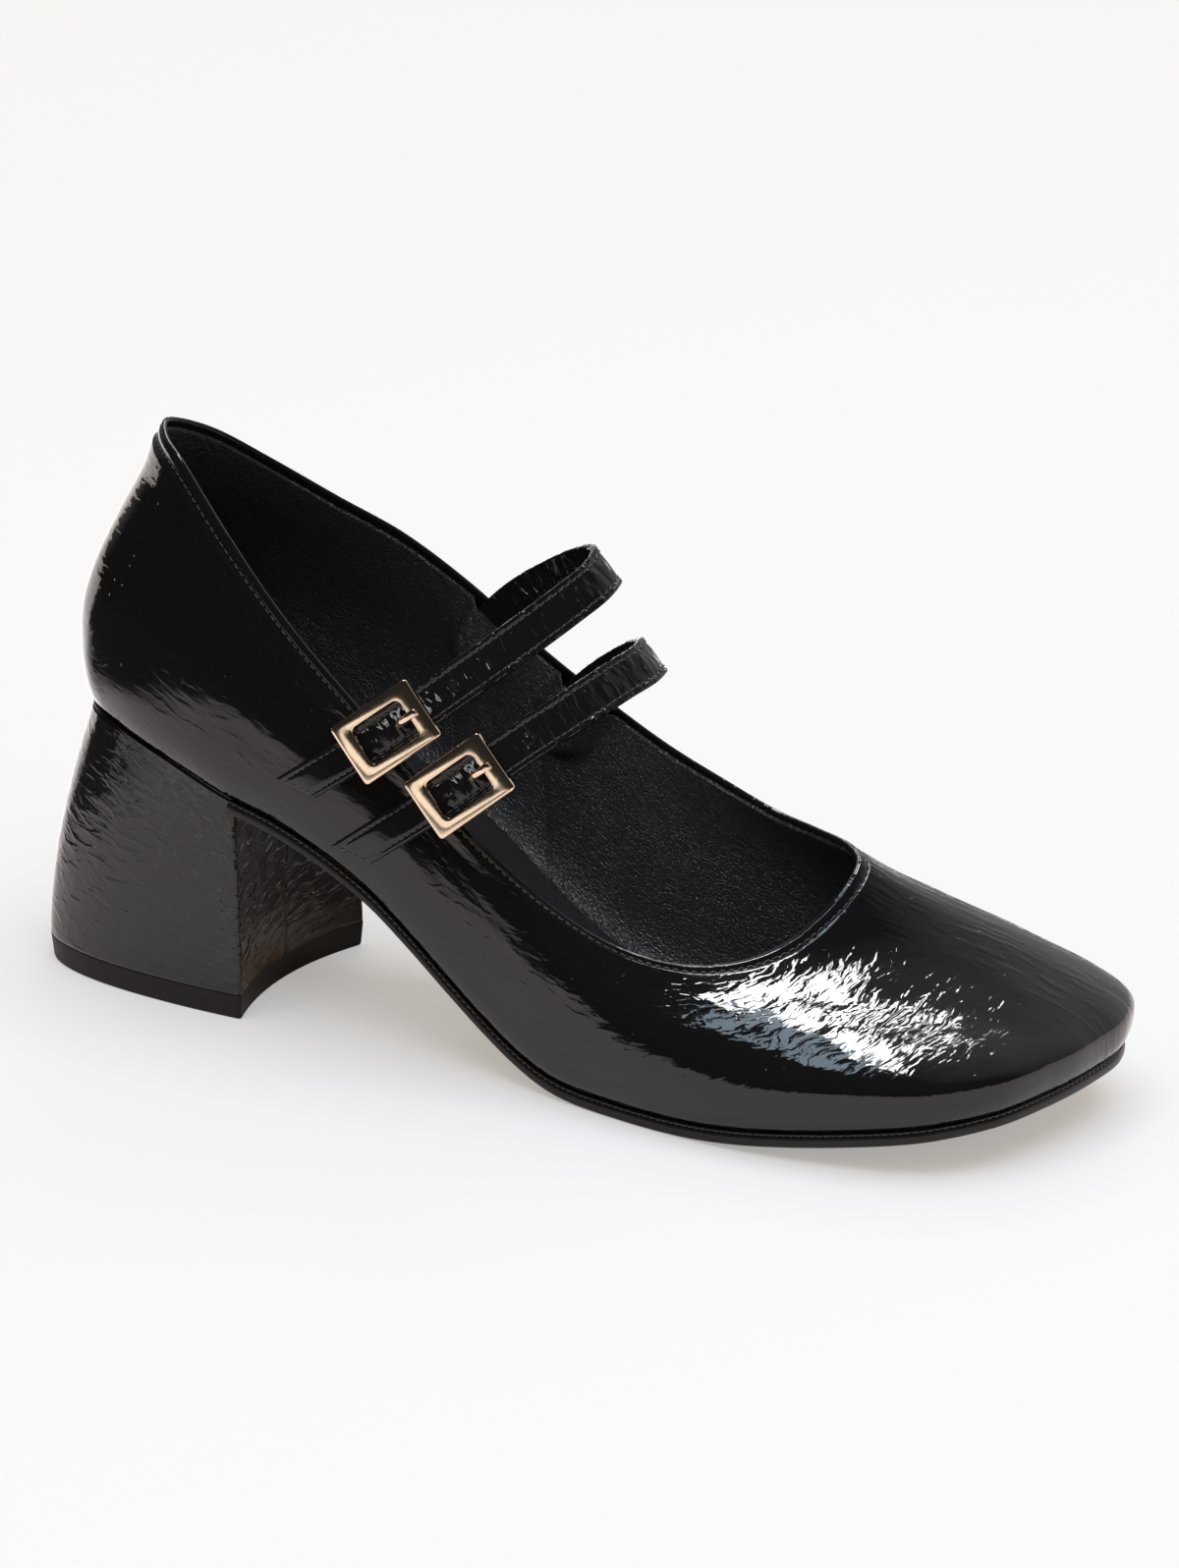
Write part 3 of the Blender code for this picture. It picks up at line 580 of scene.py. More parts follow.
# Outer skin: upper columns plus edge relief, slow waves and a back seam; its top rolls over in a half circle.
def buildUpper():
    look = upperLook
    s = np.linspace(0, stationCount, look["columns"], endpoint=False)
    grid, depth = byLength(upperColumns(s), nearRows, look["rows"])
    normal = gridNormals(grid)
    slow = smoothNoise(grid.shape[:2], (30, 14), 5) + 0.5 * smoothNoise(grid.shape[:2], (13, 8), 6)
    fade = np.clip((depth - 5) / 14, 0, 1) * np.clip((depth[:, -1:] - depth) / 5, 0, 1)
    seam = -0.14 * np.exp(-(np.minimum(s, stationCount - s)[:, None] / 0.022) ** 2)
    relief = edgeRelief(depth, paddedShare(grid[:, :1, 0])) + slow * fade * look["waves"] + seam
    skin = grid + normal * relief[..., None]
    turn = np.linspace(0, np.pi, 9)[1:]
    rim, n0 = skin[:, 0], normal[:, 0]
    up = unitRows(grid[:, 0] - grid[:, 2])
    r = look["foldRadius"]
    over = [rim - n0 * (r - r * math.cos(a)) + up * (r * math.sin(a)) for a in turn]
    over += [rim - n0 * 2 * r - up * k for k in (0.5, 1.1, 1.6)]
    fold = np.stack(over[::-1], 1)
    full = np.concatenate([fold, skin], axis=1)
    step = np.linalg.norm(np.diff(full, axis=1), axis=2)
    v = np.concatenate([np.zeros((len(full), 1)), np.cumsum(step, axis=1)], axis=1)
    around = np.r_[0, np.cumsum(np.linalg.norm(np.diff(full[:, -20], axis=0), axis=1))]
    around = np.r_[around, around[-1] + 0.8]
    v = np.concatenate([v, v[:1]], axis=0)
    field = np.stack([np.repeat(around[:, None], v.shape[1], 1), v], -1)
    faces, corners = gridFaces(full.shape[0], full.shape[1], True)
    piece = meshPiece("upperSkin", full, faces, upperPatent, (field, corners))
    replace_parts(piece, "upper")
    return grid, depth, normal


upperGrid, upperDepth, upperNormal = buildUpper()
print("upper skin done")


# small helpers for the pieces that sit on others

# Points at the wanted distances along a path, with the path's full length when asked with None.
def alongPath(path, wanted):
    run = np.r_[0, np.cumsum(np.linalg.norm(np.diff(path, axis=0), axis=1))]
    if wanted is None:
        return run[-1]
    return np.stack([np.interp(wanted, run, path[:, k]) for k in range(path.shape[1])], -1)


# One row of thread stitches as joined capsules that dive into the leather at both ends.
def stitchRow(name, path, face, pitch, length, radius, node):
    total = alongPath(path, None)
    count = max(int(round(total / pitch)), 1)
    centres = (np.arange(count) + 0.5) * total / count
    u = np.array([-1, -0.8, -0.3, 0.3, 0.8, 1.0])
    at = centres[:, None] + u * length / 2
    spots = alongPath(path, at)
    normal = unitRows(alongPath(np.c_[path, face], at)[..., 3:])
    tangent = unitRows(np.gradient(spots, axis=1))
    side = unitRows(np.cross(normal, tangent))
    normal = np.cross(tangent, side)
    wide = radius * np.array([0.3, 0.8, 1, 1, 0.8, 0.3])
    lift = radius * (0.85 - 1.1 * np.array([1, 0.45, 0, 0, 0.45, 1]))
    angle = np.arange(6) * np.pi / 3
    ring = side[:, :, None] * np.cos(angle)[:, None] + normal[:, :, None] * np.sin(angle)[:, None]
    verts = (spots + normal * lift[:, None])[:, :, None] + ring * wide[:, None, None]
    i, j = np.meshgrid(np.arange(5), np.arange(6), indexing="ij")
    i, j = i.ravel(), j.ravel()
    one = np.stack([i * 6 + j, i * 6 + (j + 1) % 6, (i + 1) * 6 + (j + 1) % 6, (i + 1) * 6 + j], 1)
    faces = (np.arange(count)[:, None, None] * 36 + one[None]).reshape(-1, 4)
    ends = [[k * 36 + m for m in range(6)] for k in range(count)]
    ends += [[k * 36 + 30 + m for m in range(5, -1, -1)] for k in range(count)]
    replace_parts(meshPiece(name, verts, faces, stitchThread, None, ends), node)


# Small raised ring lying on a surface: a flattened tube carried round a circle.
def ringPiece(name, centre, across, along, outward, radius, tube, node, turns=28, sides=8):
    a = np.arange(turns) * 2 * np.pi / turns
    b = np.arange(sides) * 2 * np.pi / sides
    rim = along[None] * np.cos(a)[:, None] * radius + across[None] * np.sin(a)[:, None] * radius
    out = unitRows(rim)
    grid = (centre + rim)[:, None] + out[:, None] * (tube * np.cos(b))[None, :, None] \
        + outward[None, None] * (tube * 0.7 * np.sin(b))[None, :, None]
    faces, _ = gridFaces(turns, sides, True, True)
    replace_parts(closedSolid(meshPiece(name, grid, faces, edgePatent)), node)


# Thin oval disc of painted shade that stands for the dark inside a punched hole; reach is its half size along
# and across.
def discPiece(name, centre, across, along, outward, reach, node, turns=24):
    a = np.arange(turns) * 2 * np.pi / turns
    rim = along[None] * np.cos(a)[:, None] * reach[0] + across[None] * np.sin(a)[:, None] * reach[1]
    verts = np.concatenate([centre + rim, centre + rim - outward * 0.1])
    ring = [[j, (j + 1) % turns, turns + (j + 1) % turns, turns + j] for j in range(turns)]
    ends = [list(range(turns)), [turns + j for j in range(turns - 1, -1, -1)]]
    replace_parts(closedSolid(meshPiece(name, verts, ring, holeDark, None, ends)), node)


# straps: centre lines run from the buckled end over the instep to the inner side
straps = dict(
    rear=dict(path=[(84.3, -32.2, 67.6), (90.5, -30.0, 72.6), (96.7, -27.2, 77.6), (101.5, -22.3, 81.8),
                    (106, -15.2, 86), (110.5, -7, 90.3), (114.5, 1, 94.4), (117, 8.5, 97.5),
                    (115.8, 15.2, 98.8), (109.5, 19, 96.8), (101, 20.2, 92), (92.5, 20.6, 86),
                    (85.5, 20.8, 79), (81.5, 20.8, 73)],
              foot=(68.0, 55.9), holes=(16.0,), seed=11),
    front=dict(path=[(102.0, -32.4, 59.2), (108.0, -30.4, 64.2), (114.0, -27.6, 69.3), (118.3, -21.8, 73),
                     (122, -14.5, 76), (125, -7, 78.6), (127.3, 0.8, 80.6), (128.8, 8, 81.8),
                     (127, 14.5, 81.6), (120, 19, 77.4), (111.5, 21, 71), (104.5, 21.4, 64),
                     (100.5, 21.6, 58)],
               foot=(80.8, 43.5), holes=(16.0,), seed=12),
)
strapLook = dict(wide=8.8, thick=1.6, stitchIn=1.3, groove=0.14, bead=0.22, crown=0.16, puff=0.3,
                 wrinkle=0.15, step=0.45)


# Strap centre line, its own direction, the across direction and the outward face, finely sampled.
def strapFrames(path):
    line = curveAt(path, np.linspace(0, len(path) - 1, 600), False)
    run = np.r_[0, np.cumsum(np.linalg.norm(np.diff(line, axis=0), axis=1))]
    even = np.linspace(0, run[-1], int(run[-1] / strapLook["step"]))
    line = np.stack([np.interp(even, run, line[:, k]) for k in range(3)], 1)
    along = unitRows(np.gradient(line, axis=0))
    middle = np.array([np.mean([p[0] for p in path]) - 10, 0, 30])
    lean = np.array([0.68, 0.0, -0.73])
    wide = unitRows(lean - along * (along @ lean)[:, None])
    face = np.cross(along, wide)
    face *= np.sign(np.einsum("ij,ij->i", face, line - middle))[:, None]
    return line, along, wide, face, even


# Buckle centre on the strap, and its along, across and outward directions, from the strap's first points.
def buckleAxes(path):
    p = np.array(path[:3], float)
    along = unitRows(p[2] - p[0])
    outward = unitRows(np.cross(along, [0.68, 0, -0.73]))
    outward = -outward if outward[1] > 0 else outward
    across = unitRows(np.cross(outward, along))
    across = -across if across[2] > 0 else across
    return p[1], along, across, outward


# Height of the strap's outer face above its middle, u across in mm.
def strapProfile(u):
    look = strapLook
    half = look["wide"] / 2
    stitch = half - look["stitchIn"]
    rise = look["crown"] * np.clip(1 - (u / stitch) ** 2, 0, 1)
    rise = rise - look["groove"] * np.exp(-((np.abs(u) - stitch) / 0.2) ** 2)
    rise = rise + look["bead"] * np.exp(-((np.abs(u) - half + 0.55) / 0.34) ** 2)
    return look["thick"] / 2 + rise


# Strap: its section carried along the centre line, wrinkled where it bends most; two stitch rows and holes.
def buildStrap(tag):
    spec, look = straps[tag], strapLook
    line, along, wide, face, run = strapFrames(spec["path"])
    half, t = look["wide"] / 2, look["thick"] / 2
    u = half * np.sin(np.linspace(-1, 1, 41) * np.pi / 2) * 0.985
    nearStitch = np.array([-.3, -.15, 0, .15, .3])
    u = np.sort(np.r_[u, half - look["stitchIn"] + nearStitch, -half + look["stitchIn"] + nearStitch])
    sideTurn = np.linspace(1, -1, 9)[1:-1] * np.pi / 2
    edge, reach = t * np.sin(sideTurn), half - 0.25 + 0.32 * np.cos(sideTurn)
    section = np.concatenate([np.c_[u, strapProfile(u)], np.c_[reach, edge],
                              np.c_[[half - 0.5, 0, 0.5 - half], [-t, -t, -t]],
                              np.c_[-reach[::-1], edge[::-1]]])
    sections = np.repeat(section[None], len(line), 0).copy()
    fromEnd = alongPath(np.array(spec["path"][:2], float), None)  # buckle centre, from the strap's free end
    buckled = np.exp(-((run - fromEnd) / 5.0) ** 2)
    top = len(u)
    fold = smoothNoise((len(line), top), (4, 17), spec["seed"])
    fine = smoothNoise((len(line), top), (2, 9), spec["seed"] + 2)
    bend = 0.35 + 0.65 * np.exp(-((run - 0.52 * run[-1]) / 17) ** 2)
    middleOnly = np.clip((half - look["stitchIn"] - np.abs(u)) / 0.8, 0, 1)
    sections[:, :top, 1] += (buckled[:, None] * look["puff"] * np.clip(1 - (u / 3.3) ** 2, 0, 1)
                             + (fold + 0.4 * fine) * look["wrinkle"] * bend[:, None] * middleOnly)
    piece = sweep(f"strap_{tag}_leather", line, wide, face, sections, strapPatent)
    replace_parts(piece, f"strap_{tag}")
    stitchAt = half - look["stitchIn"]
    height = strapProfile(np.array([stitchAt]))[0]
    keep = (run > 1.5) & (run < run[-1] * 0.80)
    for side, label in ((-1, "front"), (1, "rear")):
        row = line + wide * stitchAt * side + face * height
        stitchRow(f"strap_{tag}_stitches_{label}", row[keep], face[keep], 1.75, 1.35, 0.19, f"strap_{tag}")
    centre, a, w, o = buckleAxes(spec["path"])
    at = centre + a * 2.6 + o * (t + 0.32)
    # painted shade discs stand in for the dark inside the prong hole and the punched holes
    discPiece(f"strap_{tag}_prong_hole", at, w, a, o, (1.5, 1.15), f"strap_{tag}")
    for k, place in enumerate(spec["holes"]):
        spot = int(np.searchsorted(run, fromEnd + place))
        c = line[spot] + face[spot] * (t + look["crown"] + 0.02)
        axes = wide[spot], along[spot], face[spot]
        discPiece(f"strap_{tag}_hole_{k}", c + face[spot] * 0.02, *axes, (0.95, 0.95), f"strap_{tag}")
        ringPiece(f"strap_{tag}_hole_rim_{k}", c, *axes, 1.12, 0.26, f"strap_{tag}")
    return line, run


strapLines = {tag: buildStrap(tag) for tag in straps}
print("straps done")


# lining: pebbled black leather inside the upper, its top edge just under the folded topline
liningLook = dict(top=1.25, inset=1.95, columns=350, rows=46, cover=0.45, fade=3.2)


# Lining: the upper's columns set in by the wall, pressed further in where the strap ends pass.
def buildLining():
    look = liningLook
    s = np.linspace(0, stationCount, look["columns"], endpoint=False)
    near = look["top"] + np.array([0, .12, .3, .6, 1, 1.5, 2.2, 3, 4, 5.2, 6.6, 8.2, 10])
    grid, depth = byLength(upperColumns(s, 120), near, look["rows"])
    normal = gridNormals(grid)
    rim = np.clip((depth - look["top"]) / 0.5, 0, 1)
    inset = look["inset"] - 0.75 * (1 - rim) ** 2
    skin = grid - normal * inset[..., None]
    for line, run in strapLines.values():
        end = line[(line[:, 1] > 16) & (run > run[-1] * 0.6)]
        flat = skin[:, :, None, [0, 2]] - end[None, None, ::3, [0, 2]]
        gap = np.linalg.norm(flat, axis=-1)
        nearest = gap.argmin(-1)
        share = np.clip(1 - (gap.min(-1) - 4.4) / look["fade"], 0, 1)
        share = share * share * (3 - 2 * share) * (skin[..., 1] > 8)
        wanted = np.minimum(skin[..., 1], end[::3, 1][nearest] - strapLook["thick"] / 2 - look["cover"])
        skin[..., 1] += (wanted - skin[..., 1]) * share
    slow = smoothNoise(skin.shape[:2], (9, 9), 21) * np.clip((depth - 3) / 8, 0, 1)
    skin = skin - normal * (0.12 * slow)[..., None]
    step = np.linalg.norm(np.diff(skin, axis=1), axis=2)
    v = np.concatenate([np.zeros((len(skin), 1)), np.cumsum(step, axis=1)], axis=1)
    around = np.r_[0, np.cumsum(np.linalg.norm(np.diff(skin[:, 12], axis=0), axis=1))]
    around = np.r_[around, around[-1] + 1.3]
    v = np.concatenate([v, v[:1]], axis=0)
    field = np.stack([np.repeat(around[:, None], v.shape[1], 1), v], -1)
    faces, corners = gridFaces(skin.shape[0], skin.shape[1], True)
    piece = meshPiece("lining", skin, faces[:, ::-1], liningLeather, (field, corners[:, ::-1]))
    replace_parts(piece, "upper")


buildLining()
edgeRow = np.abs(upperDepth - upperLook["stitchDepth"]).argmin(axis=1)[0]
rowLift = edgeRelief(upperLook["stitchDepth"], paddedShare(upperGrid[:, 0, 0])) + 0.02
rowPoints = upperGrid[:, edgeRow] + upperNormal[:, edgeRow] * rowLift[:, None]
rowPoints = np.concatenate([rowPoints, rowPoints[:1]])
rowFaces = np.concatenate([upperNormal[:, edgeRow], upperNormal[:1, edgeRow]])
stitchRow("topline_stitches", rowPoints, rowFaces, 1.9, 1.5, 0.19, "upper")
print("lining and topline stitches done")


# insole: cupped pebbled sock with a cross seam under the instep
insoleLook = dict(edge=4.35, rise=2.2, cup=0.5, across=72, lengths=240, seamX=104.0, seamDeep=0.25)


# Outer-side and inner-side y of a closed plan loop at lengths x.
def loopWidths(loop, x):
    low, high = loop[:, 0].argmin(), loop[:, 0].argmax()
    outer = loop[low:high + 1]
    inner = np.concatenate([loop[high:], loop[:low + 1]])[::-1]
    return np.interp(x, outer[:, 0], outer[:, 1]), np.interp(x, inner[:, 0], inner[:, 1])


# Insole: a cupped top face across the plan loop, dished at the seam, on a flat lower face.
def buildInsole():
    look = insoleLook
    fineLoop = curveAt(last["outline"], np.linspace(0, stationCount, 1400, endpoint=False), True)
    loop = insetLoop(fineLoop, look["edge"])
    turn = np.linspace(0, np.pi, look["lengths"])
    x = (loop[:, 0].max() + loop[:, 0].min()) / 2 - (loop[:, 0].max() - loop[:, 0].min()) / 2 * np.cos(turn)
    low, high = loopWidths(loop, x)
    v = np.sin(np.linspace(-1, 1, look["across"]) * np.pi / 2)
    y = (low + high)[:, None] / 2 + (high - low)[:, None] / 2 * v
    xs = np.repeat(x[:, None], look["across"], 1)
    top = featherZ(xs) + look["rise"] + look["cup"] * np.abs(v) ** 3
    top -= look["seamDeep"] * np.exp(-((xs - look["seamX"] - 0.05 * (y - 5)) / 0.35) ** 2)
    top += 0.12 * smoothNoise(top.shape, (12, 12), 31)
    rim = np.clip((1 - np.abs(v)) / 0.012, 0, 1)
    top -= 0.9 * (1 - rim) ** 2
    upperFace = np.stack([xs, y, top], -1)
    lower = np.stack([xs, y * 0.93 + 0.07 * (low + high)[:, None] / 2, featherZ(xs) + 0.12], -1)
    n, m = upperFace.shape[:2]
    faces, corners = gridFaces(n, m, False)
    field = np.stack([np.c_[xs, xs[:, -1]], np.c_[y, y[:, -1]]], -1)
    field = np.concatenate([field, field[-1:]])
    under = faces[:, ::-1] + n * m
    sides = slabSides(n, m)
    allFaces = np.concatenate([faces, under, sides])
    allCorners = np.concatenate([corners, corners[:, ::-1], np.zeros((len(sides), 4, 2), int)])
    verts = np.concatenate([upperFace.reshape(-1, 3), lower.reshape(-1, 3)])
    piece = meshPiece("insole_sock", verts, allFaces, insoleLeather, (field, allCorners))
    closedSolid(piece, 1e-7)
    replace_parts(piece, "insole")


buildInsole()
print("insole done")


# sole: thin light board, black rounded edge, and the fine welt bead where it meets the upper
soleLook = dict(breastX=49.4, edgeIn=1.7, thick=2.6, beadIn=2.5, bead=0.42)


# Points across a plan loop at lengths x, closer together at the sides, at height z(x).
def plateGrid(loop, x, across, z):
    low, high = loopWidths(loop, x)
    v = np.sin(np.linspace(-1, 1, across) * np.pi / 2)
    y = (low + high)[:, None] / 2 + (high - low)[:, None] / 2 * v
    xs = np.repeat(x[:, None], across, 1)
    return np.stack([xs, y, z(xs)], -1)


# Sole: a board between two plate grids, a rounded edge strip, the welt bead and its stitches.
def buildSole():
    look = soleLook
    fine = curveAt(last["outline"], np.linspace(0, stationCount, 1400, endpoint=False), True)
    board = insetLoop(fine, look["edgeIn"] + 0.9)
    x0, x1 = look["breastX"], board[:, 0].max()
    x = x0 + (x1 - x0) * np.sin(np.linspace(0, np.pi / 2, 150))
    low = plateGrid(board, x, 40, lambda q: soleZ(q) + 0.02)
    high = plateGrid(board, x, 40, lambda q: soleZ(q) + look["thick"])
    n, m = low.shape[:2]
    faces, _ = gridFaces(n, m, False)
    board = meshPiece("sole_board", np.concatenate([low.reshape(-1, 3), high.reshape(-1, 3)]),
                      np.concatenate([faces, faces[:, ::-1] + n * m, slabSides(n, m)]), soleBoard)
    closedSolid(board, 1e-7)
    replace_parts(board, "outsole")
    loop = insetLoop(fine, look["edgeIn"])
    keep = np.roll(loop, -int(np.argmin(loop[:, 0])), 0)
    keep = keep[keep[:, 0] >= x0 - 0.2]
    out = unitRows(np.gradient(keep, axis=0))
    out = np.stack([out[:, 1], -out[:, 0]], 1)
    path = np.c_[keep, soleZ(keep[:, 0])]
    t = look["thick"]
    section = [(-2.6, 0.05), (-1.1, 0.0), (-0.75, 0.02), (-0.42, 0.14), (-0.18, 0.36), (-0.05, 0.7),
               (0.0, 1.1), (0.02, 1.5), (-0.02, 1.9), (-0.12, 2.2), (-0.34, 2.45), (-0.62, t - 0.02),
               (-1.0, t), (-2.6, t)]
    up = np.repeat([[0.0, 0.0, 1.0]], len(path), 0)
    edge = sweep("sole_edge_strip", path, np.c_[out, np.zeros(len(out))], up, section, soleEdgePaint)
    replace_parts(edge, "outsole")
    angle = np.arange(12) * np.pi / 6
    tube = look["bead"] * np.c_[np.cos(angle), np.sin(angle)]
    loop = insetLoop(fine, look["beadIn"])
    step = unitRows(np.roll(loop, -1, 0) - np.roll(loop, 1, 0))
    out = np.c_[step[:, 1], -step[:, 0], np.zeros(len(loop))]
    path = np.c_[loop, featherZ(loop[:, 0]) - 0.12]
    up = np.repeat([[0.0, 0.0, 1.0]], len(path), 0)
    bead = sweep("welt_bead", path, out, up, tube, edgePatent, closed=True)
    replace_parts(bead, "upper", "outsole")
    front = path[:, 0] > x0 - 2
    ordered = np.roll(np.arange(len(path)), -int(np.argmin(path[:, 0])))
    ordered = ordered[front[ordered]]
    stitchRow("welt_stitches", path[ordered] + out[ordered] * (look["bead"] * 0.95), out[ordered], 1.55, 1.15,
              0.2, "outsole")


buildSole()
print("sole done")


# heel: curved block in a leather cover seamed down the breast, on a rubber top piece
heelLook = dict(base=dict(back=-6.0, front=51.8, half=25.5), top=dict(back=5.7, front=49.0, half=23.6),
                hollowBase=4.5, hollowTop=0.6, topPiece=5.5, rings=90, flank=110, breast=60)


# Closed plan loop from the outer front corner round the back, then across the hollow breast.
def heelLoop(size, hollow):
    look = heelLook
    q = np.linspace(0, np.pi, look["flank"] * 2 + 1)
    length = size["front"] - size["back"]
    c, s = np.cos(q), np.sin(q)
    x = size["front"] - length * np.abs(s) ** 0.92
    y = -size["half"] * np.sign(c) * np.abs(c) ** 0.62
    v = np.linspace(1, -1, look["breast"] + 2)[1:-1]
    return np.concatenate([np.stack([x, y], 1),
                           np.stack([size["front"] - hollow * (1 - v ** 2), v * size["half"]], 1)])


# Rounds the loop's corners by a few averaging passes after spacing its points evenly.
def softenCorners(loop, rounds):
    closed = np.concatenate([loop, loop[:1]])
    run = np.r_[0, np.cumsum(np.linalg.norm(np.diff(closed, axis=0), axis=1))]
    want = np.linspace(0, run[-1], 420, endpoint=False)
    even = np.stack([np.interp(want, run, closed[:, k]) for k in range(2)], 1)
    for _ in range(rounds):
        even = 0.5 * even + 0.25 * (np.roll(even, 1, 0) + np.roll(even, -1, 0))
    return even


# Heel cover: plan loops blended from the seat down to the base, with leather folds on the breast and a seam.
def buildHeel():
    look = heelLook
    top = heelLoop(look["top"], look["hollowTop"])
    base = heelLoop(look["base"], look["hollowBase"])
    rings = []
    for t in np.linspace(0, 1, look["rings"]):
        ease = 1 - (1 - t) ** 1.7
        plan = top + (base - top) * np.array([ease, 0.35 * ease + 0.65 * t])
        plan = softenCorners(plan, 5)
        start = int(np.argmin(np.abs(plan[:, 1]) + 1000 * (plan[:, 0] < 25)))
        plan = np.roll(plan, -start, 0)
        zTop = soleZ(plan[:, 0]) + last["soleThick"]
        rings.append(np.c_[plan, zTop + (look["topPiece"] + 0.05 - zTop) * t])
    grid = np.array(rings).transpose(1, 0, 2)
    normal = gridNormals(grid)
    fold = smoothNoise(grid.shape[:2], (9, 12), 41) + 0.5 * smoothNoise(grid.shape[:2], (5, 7), 42)
    breast = np.clip((grid[..., 0] - 46) / 3, 0, 1)
    normal *= np.sign(np.einsum("ijk,ijk->ij", normal, grid - [28, 0, 30]))[..., None]
    seam = np.exp(-(grid[..., 1] / 0.35) ** 2) * (grid[..., 0] > 40)
    level = np.arange(look["rings"])
    edge = np.clip(np.minimum(level, look["rings"] - 1 - level) / 6, 0, 1)
    grid = grid + normal * ((fold * (0.03 + 0.16 * breast) * edge) - 0.3 * seam)[..., None]
    n, m = grid.shape[:2]
    faces, corners = gridFaces(n, m, True)
    run = np.r_[0, np.cumsum(np.linalg.norm(np.diff(grid[:, m // 2], axis=0), axis=1))]
    run = np.r_[run, run[-1] + 0.4]
    down = np.repeat(np.linspace(0, 50, m)[None], n + 1, 0)
    field = np.stack([np.repeat(run[:, None], m, 1), down], -1)
    piece = meshPiece("heel_cover", grid, faces, heelPatent, (field, corners), columnLids(n, m))
    piece.data.materials.append(breastPatent)
    middle = grid[:, :, 0][faces // m % n, faces % m].mean(1)
    which = np.zeros(len(piece.data.polygons), np.int32)
    across = np.abs(grid[:, :, 1][faces // m % n, faces % m].mean(1))
    front = grid[:, :, 0].max(0)[(faces[:, 0] % m)]
    which[:len(faces)] = (middle > front - 5.2) & (across < grid[:, :, 1].max(0)[(faces[:, 0] % m)] - 0.7)
    piece.data.polygons.foreach_set("material_index", which)
    closedSolid(piece, 1e-7)
    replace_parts(piece, "heel")


# Rubber top piece: the heel's base loop carried down to the floor with softened upper and lower edges.
def buildTopPiece():
    look = heelLook
    size = dict(look["base"])
    foot = dict(back=size["back"] + 0.6, half=size["half"] - 0.4, front=size["front"] - 0.3)
    baseLoop = softenCorners(heelLoop(size, look["hollowBase"]), 3)
    footLoop = softenCorners(heelLoop(foot, look["hollowBase"]), 3)
    middle = np.array([25.0, 0.0])
    levels = []
    high = look["topPiece"]
    for share, inside, z in ((0, .3, high), (0, .05, high - .12), (0, 0, high - .4), (.5, 0, 2.7),
                             (1, 0, .45), (1, .12, .14), (1, .4, 0)):
        plan = baseLoop + (footLoop - baseLoop) * share
        plan = plan - unitRows(plan - middle) * inside
        levels.append(np.c_[plan, np.full(len(plan), z)])
    grid = np.array(levels).transpose(1, 0, 2)
    faces, _ = gridFaces(grid.shape[0], grid.shape[1], True)
    n, m = grid.shape[:2]
    piece = meshPiece("heel_top_lift", grid, faces, liftRubber, None, columnLids(n, m))
    closedSolid(piece, 1e-7)
    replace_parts(piece, "heel_top_piece")


buildHeel()
buildTopPiece()
print("heel done")


# buckles: bevelled frame, centre bar on two legs, and prong
buckleLook = dict(long=19.5, short=13.9, barEnd=3.6, barSide=2.6, base=1.1, thick=2.0, outerCorner=0.9,
                  innerCorner=1.5, crown=0.4)


# Rounded rectangle loop with subdivided straights, (along, across) pairs.
def roundedRect(halfA, halfW, radius, turns, straight):
    parts = []
    for k, (sa, sw) in enumerate(((1, 1), (-1, 1), (-1, -1), (1, -1))):
        t = np.radians(90 * k + np.linspace(0, 90, turns + 1))
        x, y = sa * (halfA - radius) + radius * np.cos(t), sw * (halfW - radius) + radius * np.sin(t)
        parts.append(np.stack([x, y], 1))
    out = []
    for k in range(4):
        a, b = parts[k][-1], parts[(k + 1) % 4][0]
        t = np.linspace(0, 1, straight + 2)[1:-1, None]
        out += [parts[k], a + (b - a) * t]
    return np.concatenate(out)


# Box with rounded edges, size along the three given directions.
def boxPiece(name, centre, a, w, o, size, bevel, node):
    half = np.array(size) / 2
    section = roundedRect(half[0], half[2], bevel, 4, 1)
    ends = np.array([-half[1], -half[1] + bevel * 0.3, -half[1] + bevel,
                     half[1] - bevel, half[1] - bevel * 0.3, half[1]])
    shrink = np.array([bevel * 0.8, bevel * 0.25, 0, 0, bevel * 0.25, bevel * 0.8])
    flat = section[None] * (1 - shrink[:, None, None] / np.abs(half[[0, 2]]))
    grid = centre + a * flat[..., :1] + o * flat[..., 1:] + w * ends[:, None, None]
    faces, _ = gridFaces(len(ends), len(section), False, True)
    piece = meshPiece(name, grid, faces, paleGold, None, rowLids(len(section), len(ends)))
    closedSolid(piece)
    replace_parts(piece, node)


